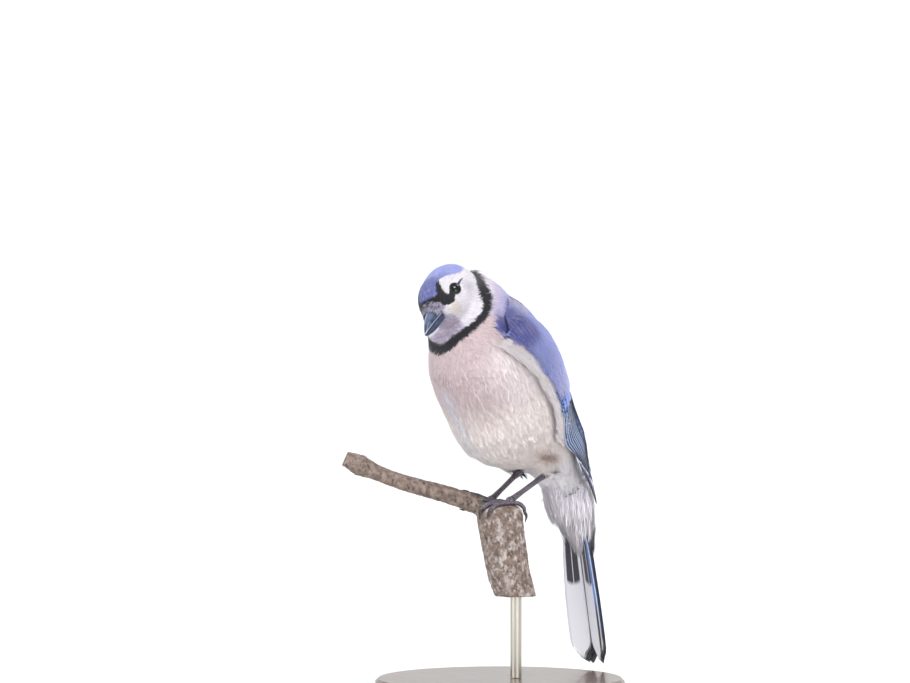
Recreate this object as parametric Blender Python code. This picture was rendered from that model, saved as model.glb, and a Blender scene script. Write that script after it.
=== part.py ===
"""Blue jay, perched and looking down at the viewer, on a cut branch and a stand.

Metres, +Z up. The origin is the centre of the underside of the base.
The bird's body looks along -Y and its left side is +X.
"""
import math
import random

import bmesh
import bpy
import numpy as np
from mathutils import Matrix, Vector
from mathutils.bvhtree import BVHTree

MM = 0.001
GAP = 0.3 * MM
SHARP_ANGLE = math.radians(35)

# Stand
BASE_RADIUS = 70 * MM
BASE_HEIGHT = 14 * MM
BASE_BEVEL = 1.6 * MM
BASE_SEGMENTS = 36
ROD_RADIUS = 3.2 * MM

# Perch: a thick stub that leans to the viewer's right as it goes down,
# and a thin side branch to the viewer's left
VIEW_ANGLE = math.radians(42)
VIEW_RIGHT = Vector((math.cos(VIEW_ANGLE), math.sin(VIEW_ANGLE), 0))
PERCH_TOP = 111 * MM
PERCH_CUT = 60 * MM
PERCH_RADIUS = 13.4 * MM
PERCH_TAPER = 1.6 * MM
PERCH_EDGE = 5 * MM
PERCH_LEAN = 9 * MM
TWIG_LENGTH = 84 * MM
TWIG_RADIUS = 4.5 * MM
TWIG_RISE = 30 * MM
KNUCKLE_RADIUS = 6.6 * MM

# Trunk of the body: forward, height, lean of the spine above level in degrees,
# half width, depth to the back, depth to the breast, shift to the left
BODY = (
    (-57.0, 118.0, 60, 11.0, 11.5, 15.5, 0.0),
    (-47.0, 130.0, 53, 15.5, 13.8, 12.9, 0.0),
    (-35.0, 140.5, 47, 23.5, 18.5, 15.8, 0.0),
    (-23.0, 150.0, 48, 30.0, 25.0, 28.5, 0.0),
    (-11.5, 161.0, 53, 34.0, 28.5, 37.5, 0.0),
    (-2.0, 174.0, 58, 35.0, 29.5, 37.5, 0.0),
    (5.0, 187.0, 62, 34.5, 29.5, 39.5, 0.0),
    (10.5, 199.0, 60, 32.3, 28.5, 40.5, -0.7),
    (16.0, 209.5, 52, 28.3, 26.5, 37.8, -2.0),
    (22.5, 218.0, 42, 23.8, 27.0, 30.5, -4.6),
    (29.5, 222.6, 34, 19.2, 27.0, 20.5, -8.4),
)
NECK_START = 8.0
BODY_SEGMENTS = 26
BODY_RINGS_PER_STATION = 2

# Wing hull: the trunk's own stations from the shoulder back, then free of the body
HULL_TAIL = (
    (-37.0, 141.5, 48, 24.0, 19.5, 15.0, 0.0),
    (-49.8, 125.6, 50, 17.6, 15.2, 12.0, 0.0),
    (-63.0, 104.5, 54, 13.0, 11.0, 10.0, 0.0),
)
WING_LENGTH = 123 * MM
CORE_START = -8 * MM
CORE_END = 58 * MM
CORE_RINGS = 9
VANE = 0.6 * MM
LAYER = 0.95 * MM

# Cross sections of a feather: across from edge to edge, and half its thickness
BROAD = ((-1.0, 0.0), (-0.4, 0.5), (0.4, 0.5), (1.0, 0.0), (0.4, -0.5), (-0.4, -0.5))
SLIM = ((-1.0, 0.0), (0.0, 0.6), (1.0, 0.0), (0.0, -0.6))

# Tail
TAIL_ROOT = Vector((0, 66.5, 118.0)) * MM
TAIL_TILT = math.radians(10.8)
TAIL_LENGTH = 103.5 * MM
TAIL_PAIRS = 6
TAIL_HALF_WIDTH = 12.2 * MM
TAIL_ROOF = math.tan(math.radians(20))

# Head: centre, turn to the bird's left, bow, and tilt that lifts the left eye
HEAD_CENTRE = Vector((-8.0, -37.3, 226.6)) * MM
HEAD_TURN = math.radians(17.5)
HEAD_BOW = math.radians(27)
HEAD_TILT = math.radians(25)
HEAD = (
    (-23.0, 8.0, 9.0, 7.0),
    (-18.5, 14.5, 14.4, 13.5),
    (-12.5, 17.8, 16.7, 17.0),
    (-6.5, 18.0, 16.6, 17.8),
    (-1.0, 16.3, 16.2, 16.8),
    (4.0, 14.2, 15.8, 15.0),
    (8.5, 12.6, 14.4, 12.6),
    (12.5, 10.2, 11.8, 9.8),
    (15.5, 7.2, 8.0, 7.0),
)
HEAD_SEGMENTS = 24
HEAD_RINGS = 14
CREST_ROWS = ((7.0 * MM, 3, 13.0 * MM, 19), (1.0 * MM, 4, 14.0 * MM, 17), (-5.0 * MM, 5, 14.0 * MM, 14))
BILL_BASE = 15.5 * MM
BILL_TIP = 34.8 * MM
BILL_HALF_WIDTH = 4.6 * MM
CULMEN_RISE = 4.2 * MM
CULMEN_DROP = 8.0 * MM
MOUTH_LEVEL = -2.0 * MM
MOUTH_DROP = 2.2 * MM
CHIN_DEPTH = 3.9 * MM
EYE_RADIUS = 4.6 * MM
EYE_PLACE = Vector((2.2, 9.9, 3.4)) * MM
EYE_TOE_IN = math.radians(25)
LID_RADIUS = 4.35 * MM
LID_THICKNESS = 0.55 * MM

# Legs
ANKLE = Vector((10.5, 28.0, 128.0)) * MM
FOOT = Vector((7.0, 0.5, 113.8)) * MM
KNEE = Vector((15.0, 9.0, 147.0)) * MM
TARSUS_RADIUS = 1.55 * MM
TOE_RADIUS = 1.4 * MM
# Toes of each foot: turn from straight ahead to the bird's left, and length
TOES = {
    1: ((-52, 13.0 * MM), (-32, 16.0 * MM), (-8, 13.5 * MM), (150, 11.5 * MM)),
    -1: ((-86, 13.0 * MM), (-52, 17.0 * MM), (-20, 12.5 * MM), (142, 9.5 * MM)),
}
BALL_RADIUS = 2.5 * MM
TARSUS_END = 2.2 * MM
TOE_STEPS = 5
TOE_RADII = (1.2, 1.1, 0.95, 1.05, 0.9, 0.85)
CLAW_LENGTH = 6.0 * MM
CLAW_STEPS = 4
CLAW_RADII = (1.0, 1.0, 0.9, 0.65, 0.42, 0.12)


def spline(rows, t):
    """Value of a smooth curve through the rows, where row k lies at t = k."""
    rows = np.asarray(rows, dtype=float)
    last = len(rows) - 1
    k = int(min(max(math.floor(t), 0), last - 1))
    u = t - k
    p1 = rows[k]
    p2 = rows[k + 1]
    p0 = rows[k - 1] if k > 0 else 2 * p1 - p2
    p3 = rows[k + 2] if k + 2 <= last else 2 * p2 - p1
    return 0.5 * (2 * p1 + (p2 - p0) * u + (2 * p0 - 5 * p1 + 4 * p2 - p3) * u ** 2
                  + (3 * p1 - p0 - 3 * p2 + p3) * u ** 3)


def hull_point(stations, t, around, lift=0.0):
    """Point over the stations: around is 0 at the back and a quarter turn at the left."""
    forward, height, lean, width, back, breast, shift = spline(stations, t)
    lean = math.radians(lean)
    depth = back if math.cos(around) > 0 else breast
    normal = Vector((math.sin(around) / width, math.cos(around) / depth))
    normal.normalize()
    side = width * math.sin(around) + normal.x * lift / MM
    rise = depth * math.cos(around) + normal.y * lift / MM
    return Vector((shift + side,
                   -forward + rise * math.sin(lean),
                   height + rise * math.cos(lean))) * MM


def new_mesh(name, vertices, faces):
    mesh = bpy.data.meshes.new(name)
    mesh.from_pydata([tuple(v) for v in vertices], [], faces)
    mesh.validate()
    shape = bmesh.new()
    shape.from_mesh(mesh)
    bmesh.ops.recalc_face_normals(shape, faces=shape.faces)
    shape.to_mesh(mesh)
    shape.free()
    piece = bpy.data.objects.new(name, mesh)
    bpy.context.scene.collection.objects.link(piece)
    return piece


def loft(name, rings, fanned=True):
    """Closed solid through rings of points, with a fan or one plain face at each end."""
    count = len(rings[0])
    vertices = [p for ring in rings for p in ring]
    faces = []
    for k in range(len(rings) - 1):
        for i in range(count):
            j = (i + 1) % count
            a = k * count + i
            b = k * count + j
            faces.append((a, b, b + count, a + count))
    if not fanned:
        last = (len(rings) - 1) * count
        faces += [tuple(range(count)), tuple(range(last, last + count))]
        return new_mesh(name, vertices, faces)
    for ring_index in (0, len(rings) - 1):
        ring = rings[ring_index]
        middle = sum((Vector(p) for p in ring), Vector()) / count
        vertices.append(middle)
        centre = len(vertices) - 1
        start = ring_index * count
        for i in range(count):
            faces.append((start + i, start + (i + 1) % count, centre))
    return new_mesh(name, vertices, faces)


def ball(name, centre, radius, segments=20, rings=12):
    rows = []
    for k in range(1, rings):
        polar = math.pi * k / rings
        rows.append([centre + radius * Vector((
            math.sin(polar) * math.cos(2 * math.pi * i / segments),
            math.sin(polar) * math.sin(2 * math.pi * i / segments),
            math.cos(polar))) for i in range(segments)])
    piece = loft(name, rows)
    piece.data.vertices[-2].co = centre + Vector((0, 0, radius))
    piece.data.vertices[-1].co = centre - Vector((0, 0, radius))
    return piece


def tube(name, points, radii, segments=10):
    """Round bar along the points, with its own radius at each."""
    rings = []
    side = None
    for k, point in enumerate(points):
        before = points[max(k - 1, 0)]
        after = points[min(k + 1, len(points) - 1)]
        along = (after - before).normalized()
        if side is None:
            side = along.orthogonal().normalized()
        side = (side - along * side.dot(along)).normalized()
        up = along.cross(side)
        rings.append([point + radii[k] * (side * math.cos(2 * math.pi * i / segments)
                                          + up * math.sin(2 * math.pi * i / segments))
                      for i in range(segments)])
    return loft(name, rings)


def vane(name, place, stations, section=BROAD):
    """Thin feather on a mapped surface.

    place(a, b, h) gives a point; each station is (a, b, half width, height of the
    outer edge, height of the inner edge), where the inner edge has the larger b.
    """
    count = len(section)
    vertices = []
    for a, b, half, outer, inner in stations:
        for across, thick in section:
            level = outer + (inner - outer) * (across + 1) / 2
            vertices.append(place(a, b + across * half, level + thick * VANE))
    faces = [tuple(range(count)), tuple(range(len(vertices) - count, len(vertices)))]
    for low in range(0, len(vertices) - count, count):
        for i in range(count):
            j = (i + 1) % count
            # the quads above and below are split along the same line, so the vane stays thick
            if i < count // 2:
                faces.append((low + i, low + j, low + count + j))
                faces.append((low + i, low + count + j, low + count + i))
            else:
                faces.append((low + i, low + j, low + count + i))
                faces.append((low + j, low + count + j, low + count + i))
    return new_mesh(name, vertices, faces)


def remove(pieces):
    for piece in pieces:
        mesh = piece.data
        bpy.data.objects.remove(piece)
        bpy.data.meshes.remove(mesh)


def keep_largest(piece):
    """Keep the closed surface with the largest box and drop the rest."""
    shape = bmesh.new()
    shape.from_mesh(piece.data)
    shape.verts.ensure_lookup_table()
    unseen = set(shape.verts)
    islands = []
    while unseen:
        start = unseen.pop()
        island = {start}
        edge_of = [start]
        while edge_of:
            vertex = edge_of.pop()
            for edge in vertex.link_edges:
                other = edge.other_vert(vertex)
                if other not in island:
                    island.add(other)
                    edge_of.append(other)
        unseen -= island
        islands.append(island)
    islands.sort(key=len)
    for island in islands[:-1]:
        bmesh.ops.delete(shape, geom=list(island), context='VERTS')
    bmesh.ops.triangulate(shape, faces=shape.faces)
    shape.to_mesh(piece.data)
    shape.free()


def apply_boolean(piece, operation, others, solver='MANIFOLD'):
    """Run one Boolean between the piece and all of the others, then remove them."""
    group = bpy.data.collections.new("operands")
    bpy.context.scene.collection.children.link(group)
    for other in others:
        group.objects.link(other)
    change = piece.modifiers.new("boolean", 'BOOLEAN')
    change.operation = operation
    change.operand_type = 'COLLECTION'
    change.collection = group
    change.solver = solver
    evaluated = piece.evaluated_get(bpy.context.evaluated_depsgraph_get())
    mesh = bpy.data.meshes.new_from_object(evaluated)
    piece.modifiers.clear()
    old = piece.data
    piece.data = mesh
    bpy.data.meshes.remove(old)
    remove(others)
    bpy.data.collections.remove(group)
    keep_largest(piece)


def grown(piece, distance):
    """Move every point of the piece out along its surface's normal."""
    shape = bmesh.new()
    shape.from_mesh(piece.data)
    bmesh.ops.recalc_face_normals(shape, faces=shape.faces)
    shape.normal_update()
    moves = [vertex.normal * distance for vertex in shape.verts]
    for vertex, move in zip(shape.verts, moves):
        vertex.co += move
    shape.to_mesh(piece.data)
    shape.free()
    return piece


def cut_by_plane(piece, point, normal):
    """Cut away what lies ahead of the plane."""
    reach = 150 * MM
    side = normal.orthogonal().normalized() * reach
    up = normal.cross(side).normalized() * reach
    rings = [[point + normal * depth + side * a + up * b
              for a, b in ((-1, -1), (1, -1), (1, 1), (-1, 1))] for depth in (0.0, reach)]
    apply_boolean(piece, 'DIFFERENCE', [loft("block", rings)])


def mirrored(piece, name):
    mesh = piece.data.copy()
    mesh.transform(Matrix.Scale(-1, 4, Vector((1, 0, 0))))
    mesh.flip_normals()
    twin = bpy.data.objects.new(name, mesh)
    bpy.context.scene.collection.objects.link(twin)
    return twin


def material(name, colour, roughness=0.7):
    surface = bpy.data.materials.new(name)
    surface.use_nodes = True
    shader = surface.node_tree.nodes["Principled BSDF"]
    shader.inputs["Base Color"].default_value = (*colour, 1)
    shader.inputs["Roughness"].default_value = roughness
    return surface


def finish(piece, name, surface):
    piece.name = name
    piece.data.name = name
    piece.data.materials.clear()
    piece.data.materials.append(surface)
    piece.data.shade_smooth()
    piece.data.set_sharp_from_angle(angle=SHARP_ANGLE)


# Trunk and neck

def trunk_rings(start, end, lift=0.0):
    steps = max(2, round((end - start) * BODY_RINGS_PER_STATION))
    return [[hull_point(BODY, start + (end - start) * k / steps,
                        2 * math.pi * i / BODY_SEGMENTS, lift)
             for i in range(BODY_SEGMENTS)] for k in range(steps + 1)]


def station_plane(t):
    """A point of the ring at t and the direction of the spine there."""
    forward, height, lean, _, _, _, shift = spline(BODY, t)
    lean = math.radians(lean)
    return (Vector((shift, -forward, height)) * MM,
            Vector((0, -math.cos(lean), math.sin(lean))))


def make_torso():
    return loft("torso", trunk_rings(0, NECK_START))


def trunk_cutter():
    """Torso and neck in one, grown by the gap, to cut what lies on them."""
    return grown(loft("trunk", trunk_rings(0, len(BODY) - 1)), GAP * 1.05)


def make_neck():
    neck = loft("neck", trunk_rings(NECK_START, len(BODY) - 1))
    point, along = station_plane(NECK_START)
    cut_by_plane(neck, point + along * GAP, -along)
    return neck


# Head

def head_axes():
    """Forward, left and up of the head."""
    turn = Matrix.Rotation(HEAD_TURN, 3, 'Z')
    bow = Matrix.Rotation(HEAD_BOW, 3, 'X')
    tilt = Matrix.Rotation(-HEAD_TILT, 3, 'Y')
    pose = turn @ bow @ tilt
    return pose @ Vector((0, -1, 0)), pose @ Vector((1, 0, 0)), pose @ Vector((0, 0, 1))


def head_place(forward, left, up):
    ahead, aside, above = head_axes()
    return HEAD_CENTRE + ahead * forward + aside * left + above * up


def head_surface(forward, around, lift=0.0):
    """Point of the head's outside: around is 0 at the crown and a quarter turn at the left."""
    positions = [row[0] for row in HEAD]
    t = float(np.interp(forward / MM, positions, range(len(HEAD))))
    _, width, crown, chin = spline(HEAD, t)
    depth = crown if math.cos(around) > 0 else chin
    normal = Vector((math.sin(around) / width, math.cos(around) / depth))
    normal.normalize()
    return head_place(forward,
                      width * MM * math.sin(around) + normal.x * lift,
                      depth * MM * math.cos(around) + normal.y * lift)


def head_loft():
    rings = []
    start = HEAD[0][0] * MM
    for k in range(HEAD_RINGS + 1):
        forward = start + (BILL_BASE - start) * (1 - math.cos(math.pi * k / HEAD_RINGS)) / 2
        rings.append([head_surface(forward, 2 * math.pi * i / HEAD_SEGMENTS)
                      for i in range(HEAD_SEGMENTS)])
    return loft("head", rings)


def eye_axis(side):
    """Direction in which an eye looks."""
    ahead, aside, above = head_axes()
    return (aside * side * math.cos(EYE_TOE_IN) + ahead * math.sin(EYE_TOE_IN)).normalized()


def eye_centre(side):
    return head_place(EYE_PLACE.x, EYE_PLACE.y * side, EYE_PLACE.z)


def lid_ring(side):
    """Raised rim round one eye."""
    axis = eye_axis(side)
    level = math.sqrt(EYE_RADIUS ** 2 - (LID_RADIUS - LID_THICKNESS - GAP) ** 2)
    centre = eye_centre(side) + axis * (level + 0.1 * MM)
    across = axis.orthogonal().normalized()
    up = axis.cross(across)
    segments = 16
    sides = 4
    vertices = []
    faces = []
    for i in range(segments):
        turn = 2 * math.pi * i / segments
        outward = across * math.cos(turn) + up * math.sin(turn)
        for j in range(sides):
            roll = 2 * math.pi * j / sides
            vertices.append(centre + outward * (LID_RADIUS + LID_THICKNESS * math.cos(roll))
                            + axis * LID_THICKNESS * 1.4 * math.sin(roll))
    for i in range(segments):
        for j in range(sides):
            a = i * sides + j
            b = i * sides + (j + 1) % sides
            c = (i + 1) % segments * sides + (j + 1) % sides
            d = (i + 1) % segments * sides + j
            faces.append((a, b, c, d))
    return new_mesh("lid", vertices, faces)


def crest_vanes():
    """Feathers of the lowered crest, laid back along the crown."""
    pieces = []
    for root, count, length, spread in CREST_ROWS:
        for i in range(count):
            around = math.radians(spread) * (i - (count - 1) / 2)

            def place(a, b, h, around=around):
                return head_surface(a, around * (1.25 - 0.02 * a / MM) + b / (16 * MM), h)

            stations = [(root - length * f, 0.0, half * MM, lift * MM, lift * MM)
                        for f, half, lift in ((0.0, 1.0, -0.9), (0.3, 2.9, 0.25),
                                              (0.75, 2.7, 0.4), (1.0, 0.7, 0.3))]
            pieces.append(vane("crest", place, stations, SLIM))
    return pieces


def mouth_cutter(side):
    """Thin wedge that draws the line of the mouth behind the bill."""
    rings = []
    for forward, inner, up in ((16.5, 4.2, -2.0), (12.5, 6.0, -3.2), (9.5, 8.0, -5.0)):
        rings.append([head_place(forward * MM, side * reach * MM, (up + edge) * MM)
                      for reach, edge in ((inner, 0.05), (16, 0.3), (16, -0.3), (inner, -0.05))])
    return loft("mouth", rings)


def make_head():
    head = head_loft()
    cutters = [grown(make_eye(side), GAP * 1.05) for side in (1, -1)]
    cutters += [mouth_cutter(side) for side in (1, -1)]
    apply_boolean(head, 'UNION', [lid_ring(1), lid_ring(-1)] + crest_vanes())
    apply_boolean(head, 'DIFFERENCE', cutters)
    point, along = station_plane(len(BODY) - 1)
    cut_by_plane(head, point + along * GAP, -along)
    return head


def make_eye(side):
    return ball("eye", eye_centre(side), EYE_RADIUS, 16, 9)


def bill_half_width(f):
    return BILL_HALF_WIDTH * (1 - f) ** 0.8 + 0.35 * MM


def mouth_level(f):
    return MOUTH_LEVEL - MOUTH_DROP * f ** 1.6


def bill_upper_rings():
    rings = []
    steps = 9
    for k in range(steps + 1):
        f = 0.995 * math.sin(0.5 * math.pi * k / steps)
        half = bill_half_width(f)
        low = mouth_level(f)
        top = CULMEN_RISE - CULMEN_DROP * f ** 2.1
        top = max(top, low + 0.5 * MM)
        forward = BILL_BASE + GAP + (BILL_TIP - BILL_BASE) * f
        ring = []
        for i in range(11):
            turn = math.pi * i / 10
            ring.append(head_place(forward, half * math.cos(turn),
                                   low + (top - low) * math.sin(turn) ** 0.85))
        rings.append(ring)
    return rings


def nasal_tuft(side):
    """Bristle locks that lie forward over the nostril."""
    pieces = []
    for i in range(4):
        up = 3.6 - 1.25 * i
        out = (2.4, 3.8, 4.4, 4.7)[i]
        lie = []
        for f, width, lift in ((0.0, 0.9, -1.0), (0.4, 1.25, 1.0), (1.0, 0.35, 1.1)):
            lie.append(((0.9 + 7.2 * f) * MM, 0.0, width * MM, lift * MM, lift * MM))

        def place(a, b, h, up=up, out=out):
            slope = 0.05 + 0.2 * a / MM * 0.2
            return head_place(BILL_BASE + GAP + a,
                              side * (out * MM + h * 0.9 - slope * MM * 2),
                              up * MM + b + h * 0.25 - a * 0.12)

        pieces.append(vane("bristle", place, lie, SLIM))
    return pieces


def nostril(side):
    """Small pit in the side of the upper bill, below the bristles."""
    middle = head_place(BILL_BASE + 6.5 * MM, side * 4.4 * MM, -0.5 * MM)
    ahead, aside, above = head_axes()
    inward = -aside * side
    rings = []
    for depth, long, high in ((-1.5, 1.1, 0.55), (0.9, 0.7, 0.3)):
        rings.append([middle + inward * depth * MM + ahead * long * math.cos(turn) * MM
                      + above * high * math.sin(turn) * MM
                      for turn in (2 * math.pi * i / 6 for i in range(6))])
    return loft("nostril", rings)


def make_bill_upper():
    bill = loft("bill_upper", bill_upper_rings())
    apply_boolean(bill, 'UNION', nasal_tuft(1) + nasal_tuft(-1))
    apply_boolean(bill, 'DIFFERENCE', [nostril(1), nostril(-1)])
    return bill


def make_bill_lower():
    rings = []
    steps = 8
    for k in range(steps + 1):
        f = 0.93 * math.sin(0.5 * math.pi * k / steps)
        half = bill_half_width(f) * 0.93
        top = mouth_level(f) - GAP
        bottom = top - CHIN_DEPTH * (1 - (f / 0.96) ** 2.6) - 0.35 * MM
        forward = BILL_BASE + GAP + (BILL_TIP - BILL_BASE) * f
        rings.append([head_place(forward, half * math.cos(math.pi * i / 8),
                                 top + (bottom - top) * math.sin(math.pi * i / 8) ** 0.8)
                      for i in range(9)])
    return loft("bill_lower", rings)


# Wings

def wing_stations():
    """Stations of the wing hull from ahead of the shoulder back to the tip."""
    return BODY[9:2:-1] + HULL_TAIL


def wing_place(a, b, h):
    """Point on the left wing: a back from the shoulder, b up from the flank, h outward."""
    stations = wing_stations()
    last = len(stations) - 1
    t = min(max(1 + a / WING_LENGTH * (last - 1), 0.0), last)
    _, _, _, width, back, _, _ = spline(stations, t)
    radius = 0.5 * (width + back) * MM
    return hull_point(stations, t, math.pi / 2 - b / radius, h)


def lower_edge(a):
    """How far below the flank line the wing's lower edge lies."""
    return float(np.interp(a / MM, (-10, 0, 8, 35, 65, 95, 123), (-8, -11, -11, -6, -3, -1, 0))) * MM


def wing_core():
    """The folded arm and hand under the coverts."""
    rings = []
    for k in range(CORE_RINGS + 1):
        f = k / CORE_RINGS
        a = CORE_START + (CORE_END - CORE_START) * f
        low = lower_edge(a) + 1.5 * MM
        high = low + (9 + 29 * math.sin(math.pi * (0.06 + 0.78 * f))) * MM
        crown = 3.4 * math.sin(math.pi * (0.06 + 0.86 * f)) ** 0.6
        ring = []
        for i in range(8):
            ring.append(wing_place(a, low + (high - low) * i / 7,
                                   (0.5 + crown * math.sin(math.pi * (0.06 + 0.88 * i / 7)) ** 0.5) * MM))
        for i in range(7, -1, -1):
            ring.append(wing_place(a, low + (high - low) * i / 7, -1.2 * MM))
        rings.append(ring)
    return loft("core", rings, fanned=False)


def flight_feathers():
    """Primaries, secondaries and tertials, each over the one below it."""
    draw = random.Random(11)
    feathers = []
    rows = (("primary", 7, 2.1, 7.5), ("secondary", 5, 3.0, 9.0), ("tertial", 3, 5.0, 12.0))
    tips = (106, 116, 122, 122.5, 118, 112, 106, 100, 98, 96, 93, 89, 87, 80, 71)
    edge = 0.0
    index = 0
    for kind, count, step, width in rows:
        for _ in range(count):
            tip = (tips[index] + draw.uniform(-0.6, 0.6)) * MM
            root = 38 * MM if kind != "tertial" else 30 * MM
            tilt = LAYER * width / step if kind != "tertial" else LAYER * width / step * 1.1
            stations = []
            for f, half, sink in ((0.0, 0.45, 1.0), (0.22, 0.85, 0.35), (0.6, 1.0, 0.0),
                                  (0.9, 0.9, 0.1), (1.0, 0.36, 0.25)):
                a = root + (tip - root) * f
                close = 1.0 - 0.55 * max(0.0, (a / MM - 60) / 63) ** 1.2
                b = lower_edge(a) + (edge * close + width / 2 * close + 0.4) * MM
                half_width = width / 2 * half * (0.6 + 0.4 * close) * MM
                outer = 1.0 * MM + min(tilt, 2.6 * MM) * half
                inner = 1.0 * MM
                outer += (1.6 * MM - outer) * sink
                inner += (1.4 * MM - inner) * sink
                stations.append((a, b, half_width, outer, inner))
            feathers.append(vane(kind, wing_place, stations))
            edge += step
            index += 1
    return feathers


def covert_row(name, count, start, end, length, width, height, lowest, highest, seed):
    """One tier of coverts, from the lower edge up, laid back over the tier behind."""
    draw = random.Random(seed)
    pieces = []
    step = (highest - lowest) / max(1, count - 1)
    tilt = min(LAYER * width / step, 1.9 * MM)
    for i in range(count):
        f = i / max(1, count - 1)
        root = (start + (end - start) * f) + draw.uniform(-0.5, 0.5) * MM
        reach = length * (1 + draw.uniform(-0.05, 0.05))
        stations = []
        for g, half, rise in ((0.0, 0.4, -1.4), (0.4, 1.0, 0.0), (0.8, 0.9, 0.1), (1.0, 0.25, 0.0)):
            a = root + reach * g
            b = lower_edge(a) + lowest + step * i
            low = height + rise * MM
            stations.append((a, b, width / 2 * half, low + tilt * half, low))
        pieces.append(vane(name, wing_place, stations, SLIM))
    return pieces


def wing_coverts():
    pieces = covert_row("greater_covert", 6, 44 * MM, 36 * MM, 27 * MM, 7.4 * MM,
                        4.7 * MM, 6 * MM, 31 * MM, 21)
    pieces += covert_row("primary_covert", 2, 36 * MM, 35 * MM, 24 * MM, 4.8 * MM,
                         4.0 * MM, 1.0 * MM, 4.0 * MM, 22)
    pieces += covert_row("median_covert", 5, 27 * MM, 22 * MM, 18 * MM, 8.0 * MM,
                         4.6 * MM, 4 * MM, 29 * MM, 23)
    pieces += covert_row("lesser_covert", 4, 14 * MM, 9 * MM, 15 * MM, 8.6 * MM,
                         4.3 * MM, 3 * MM, 25 * MM, 24)
    pieces += covert_row("shoulder_covert", 3, 2 * MM, -2 * MM, 14 * MM, 8.6 * MM,
                         4.1 * MM, 4 * MM, 22 * MM, 26)
    pieces += covert_row("scapular", 4, 26 * MM, 14 * MM, 30 * MM, 9.0 * MM,
                         4.6 * MM, 33 * MM, 45 * MM, 25)
    return pieces


def make_wings():
    """Left and right wing, each cut clear of the trunk."""
    left = wing_core()
    apply_boolean(left, 'UNION', flight_feathers() + wing_coverts())
    right = mirrored(left, "wing_right")
    for wing in (left, right):
        apply_boolean(wing, 'DIFFERENCE', [trunk_cutter()])
    return left, right


# Tail

def tail_place(a, b, h):
    """Point on the tail: a down from its root, b to the bird's left, h to its back."""
    down = Vector((0, math.sin(TAIL_TILT), -math.cos(TAIL_TILT)))
    back = Vector((0, math.cos(TAIL_TILT), math.sin(TAIL_TILT)))
    return TAIL_ROOT + down * a + Vector((b, 0, 0)) + back * (h - abs(b) * TAIL_ROOF)


def tail_core():
    rings = []
    for a, half, top, bottom in ((-7, 10.2, 2.6, -25.0), (7, 11.0, 2.6, -21.5),
                                 (18, 10.4, 2.2, -15.5), (29, 7.0, 0.6, -9.6)):
        ring = []
        for i in range(14):
            turn = 2 * math.pi * i / 14
            rise = top if math.sin(turn) > 0 else -bottom
            side = half * math.cos(turn) * MM
            ring.append(tail_place(a * MM, side, rise * math.sin(turn) * MM
                                   + abs(side) * TAIL_ROOF * 0.6))
        rings.append(ring)
    return loft("tail", rings)


def rectrices():
    pieces = []
    layer = LAYER / math.cos(math.atan(TAIL_ROOF))
    for side in (1, -1):
        for i in range(TAIL_PAIRS):
            length = TAIL_LENGTH - 0.8 * MM * i
            outer = TAIL_HALF_WIDTH - 0.55 * MM * (TAIL_PAIRS - 1 - i)
            inner = -2.4 * MM if i == 0 else 0.25 * MM
            level = layer if i == 0 and side == 1 else -layer * i
            middle = 0.5 * (outer + inner)
            stations = []
            for f, half, shift in ((0.1, 0.25, 0.45), (0.3, 0.8, 0.8), (0.62, 0.97, 0.98),
                                   (0.93, 0.9, 1.0), (1.0, 0.4, 1.0)):
                stations.append((length * f, side * middle * shift,
                                 side * 0.5 * (outer - inner) * half * shift, level, level))
            pieces.append(vane("rectrix", tail_place, stations))
    return pieces


def tail_coverts():
    """Two tiers over the tail's root and two under it."""
    pieces = []
    layer = LAYER / math.cos(math.atan(TAIL_ROOF))
    under = -layer * (TAIL_PAIRS - 1)
    tiers = ((39, 10.4, under - 1.6 * MM), (27, 10.2, under - 4.6 * MM),
             (33, 8.6, 2.1 * MM), (21, 8.6, 2.7 * MM))
    for reach, outer, level in tiers:
        for side in (1, -1):
            for k in range(2):
                middle = outer * (0.28 + 0.46 * k) * MM
                half = outer * 0.25 * MM
                stations = []
                for f, width, close in ((0.12, 0.7, 0.7), (0.5, 1.0, 0.95),
                                        (0.84, 0.85, 1.0), (1.0, 0.3, 1.0)):
                    sink = 0.0 if f > 0.3 else 0.35
                    height = level * (1 - sink)
                    stations.append((reach * (1 - 0.1 * k) * f * MM, side * middle * close,
                                     side * half * width, height, height))
                pieces.append(vane("tail_covert", tail_place, stations, SLIM))
    return pieces


def make_tail():
    tail = tail_core()
    apply_boolean(tail, 'UNION', rectrices() + tail_coverts())
    point, along = station_plane(0)
    cut_by_plane(tail, point - along * GAP, along)
    keep_largest(tail)
    return tail


# Legs and feet

def ankle_mitre():
    """Direction down through the bend of the ankle, where shank and tarsus meet."""
    return ((ANKLE - KNEE).normalized() + (FOOT - ANKLE).normalized()).normalized()


def make_thighs():
    """Feathered shanks from the belly down to the ankles."""
    past = ANKLE + (ANKLE - KNEE).normalized() * 4 * MM
    points = [KNEE.lerp(past, f) for f in (0, 0.3, 0.6, 0.85, 1.0)]
    thigh = tube("thigh", points, [r * MM for r in (10, 9.5, 7.2, 4.4, 3.0)], 14)
    cut_by_plane(thigh, ANKLE - ankle_mitre() * GAP / 2, ankle_mitre())
    pair = (thigh, mirrored(thigh, "thigh_right"))
    for piece in pair:
        apply_boolean(piece, 'DIFFERENCE', [trunk_cutter()])
    return pair


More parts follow.
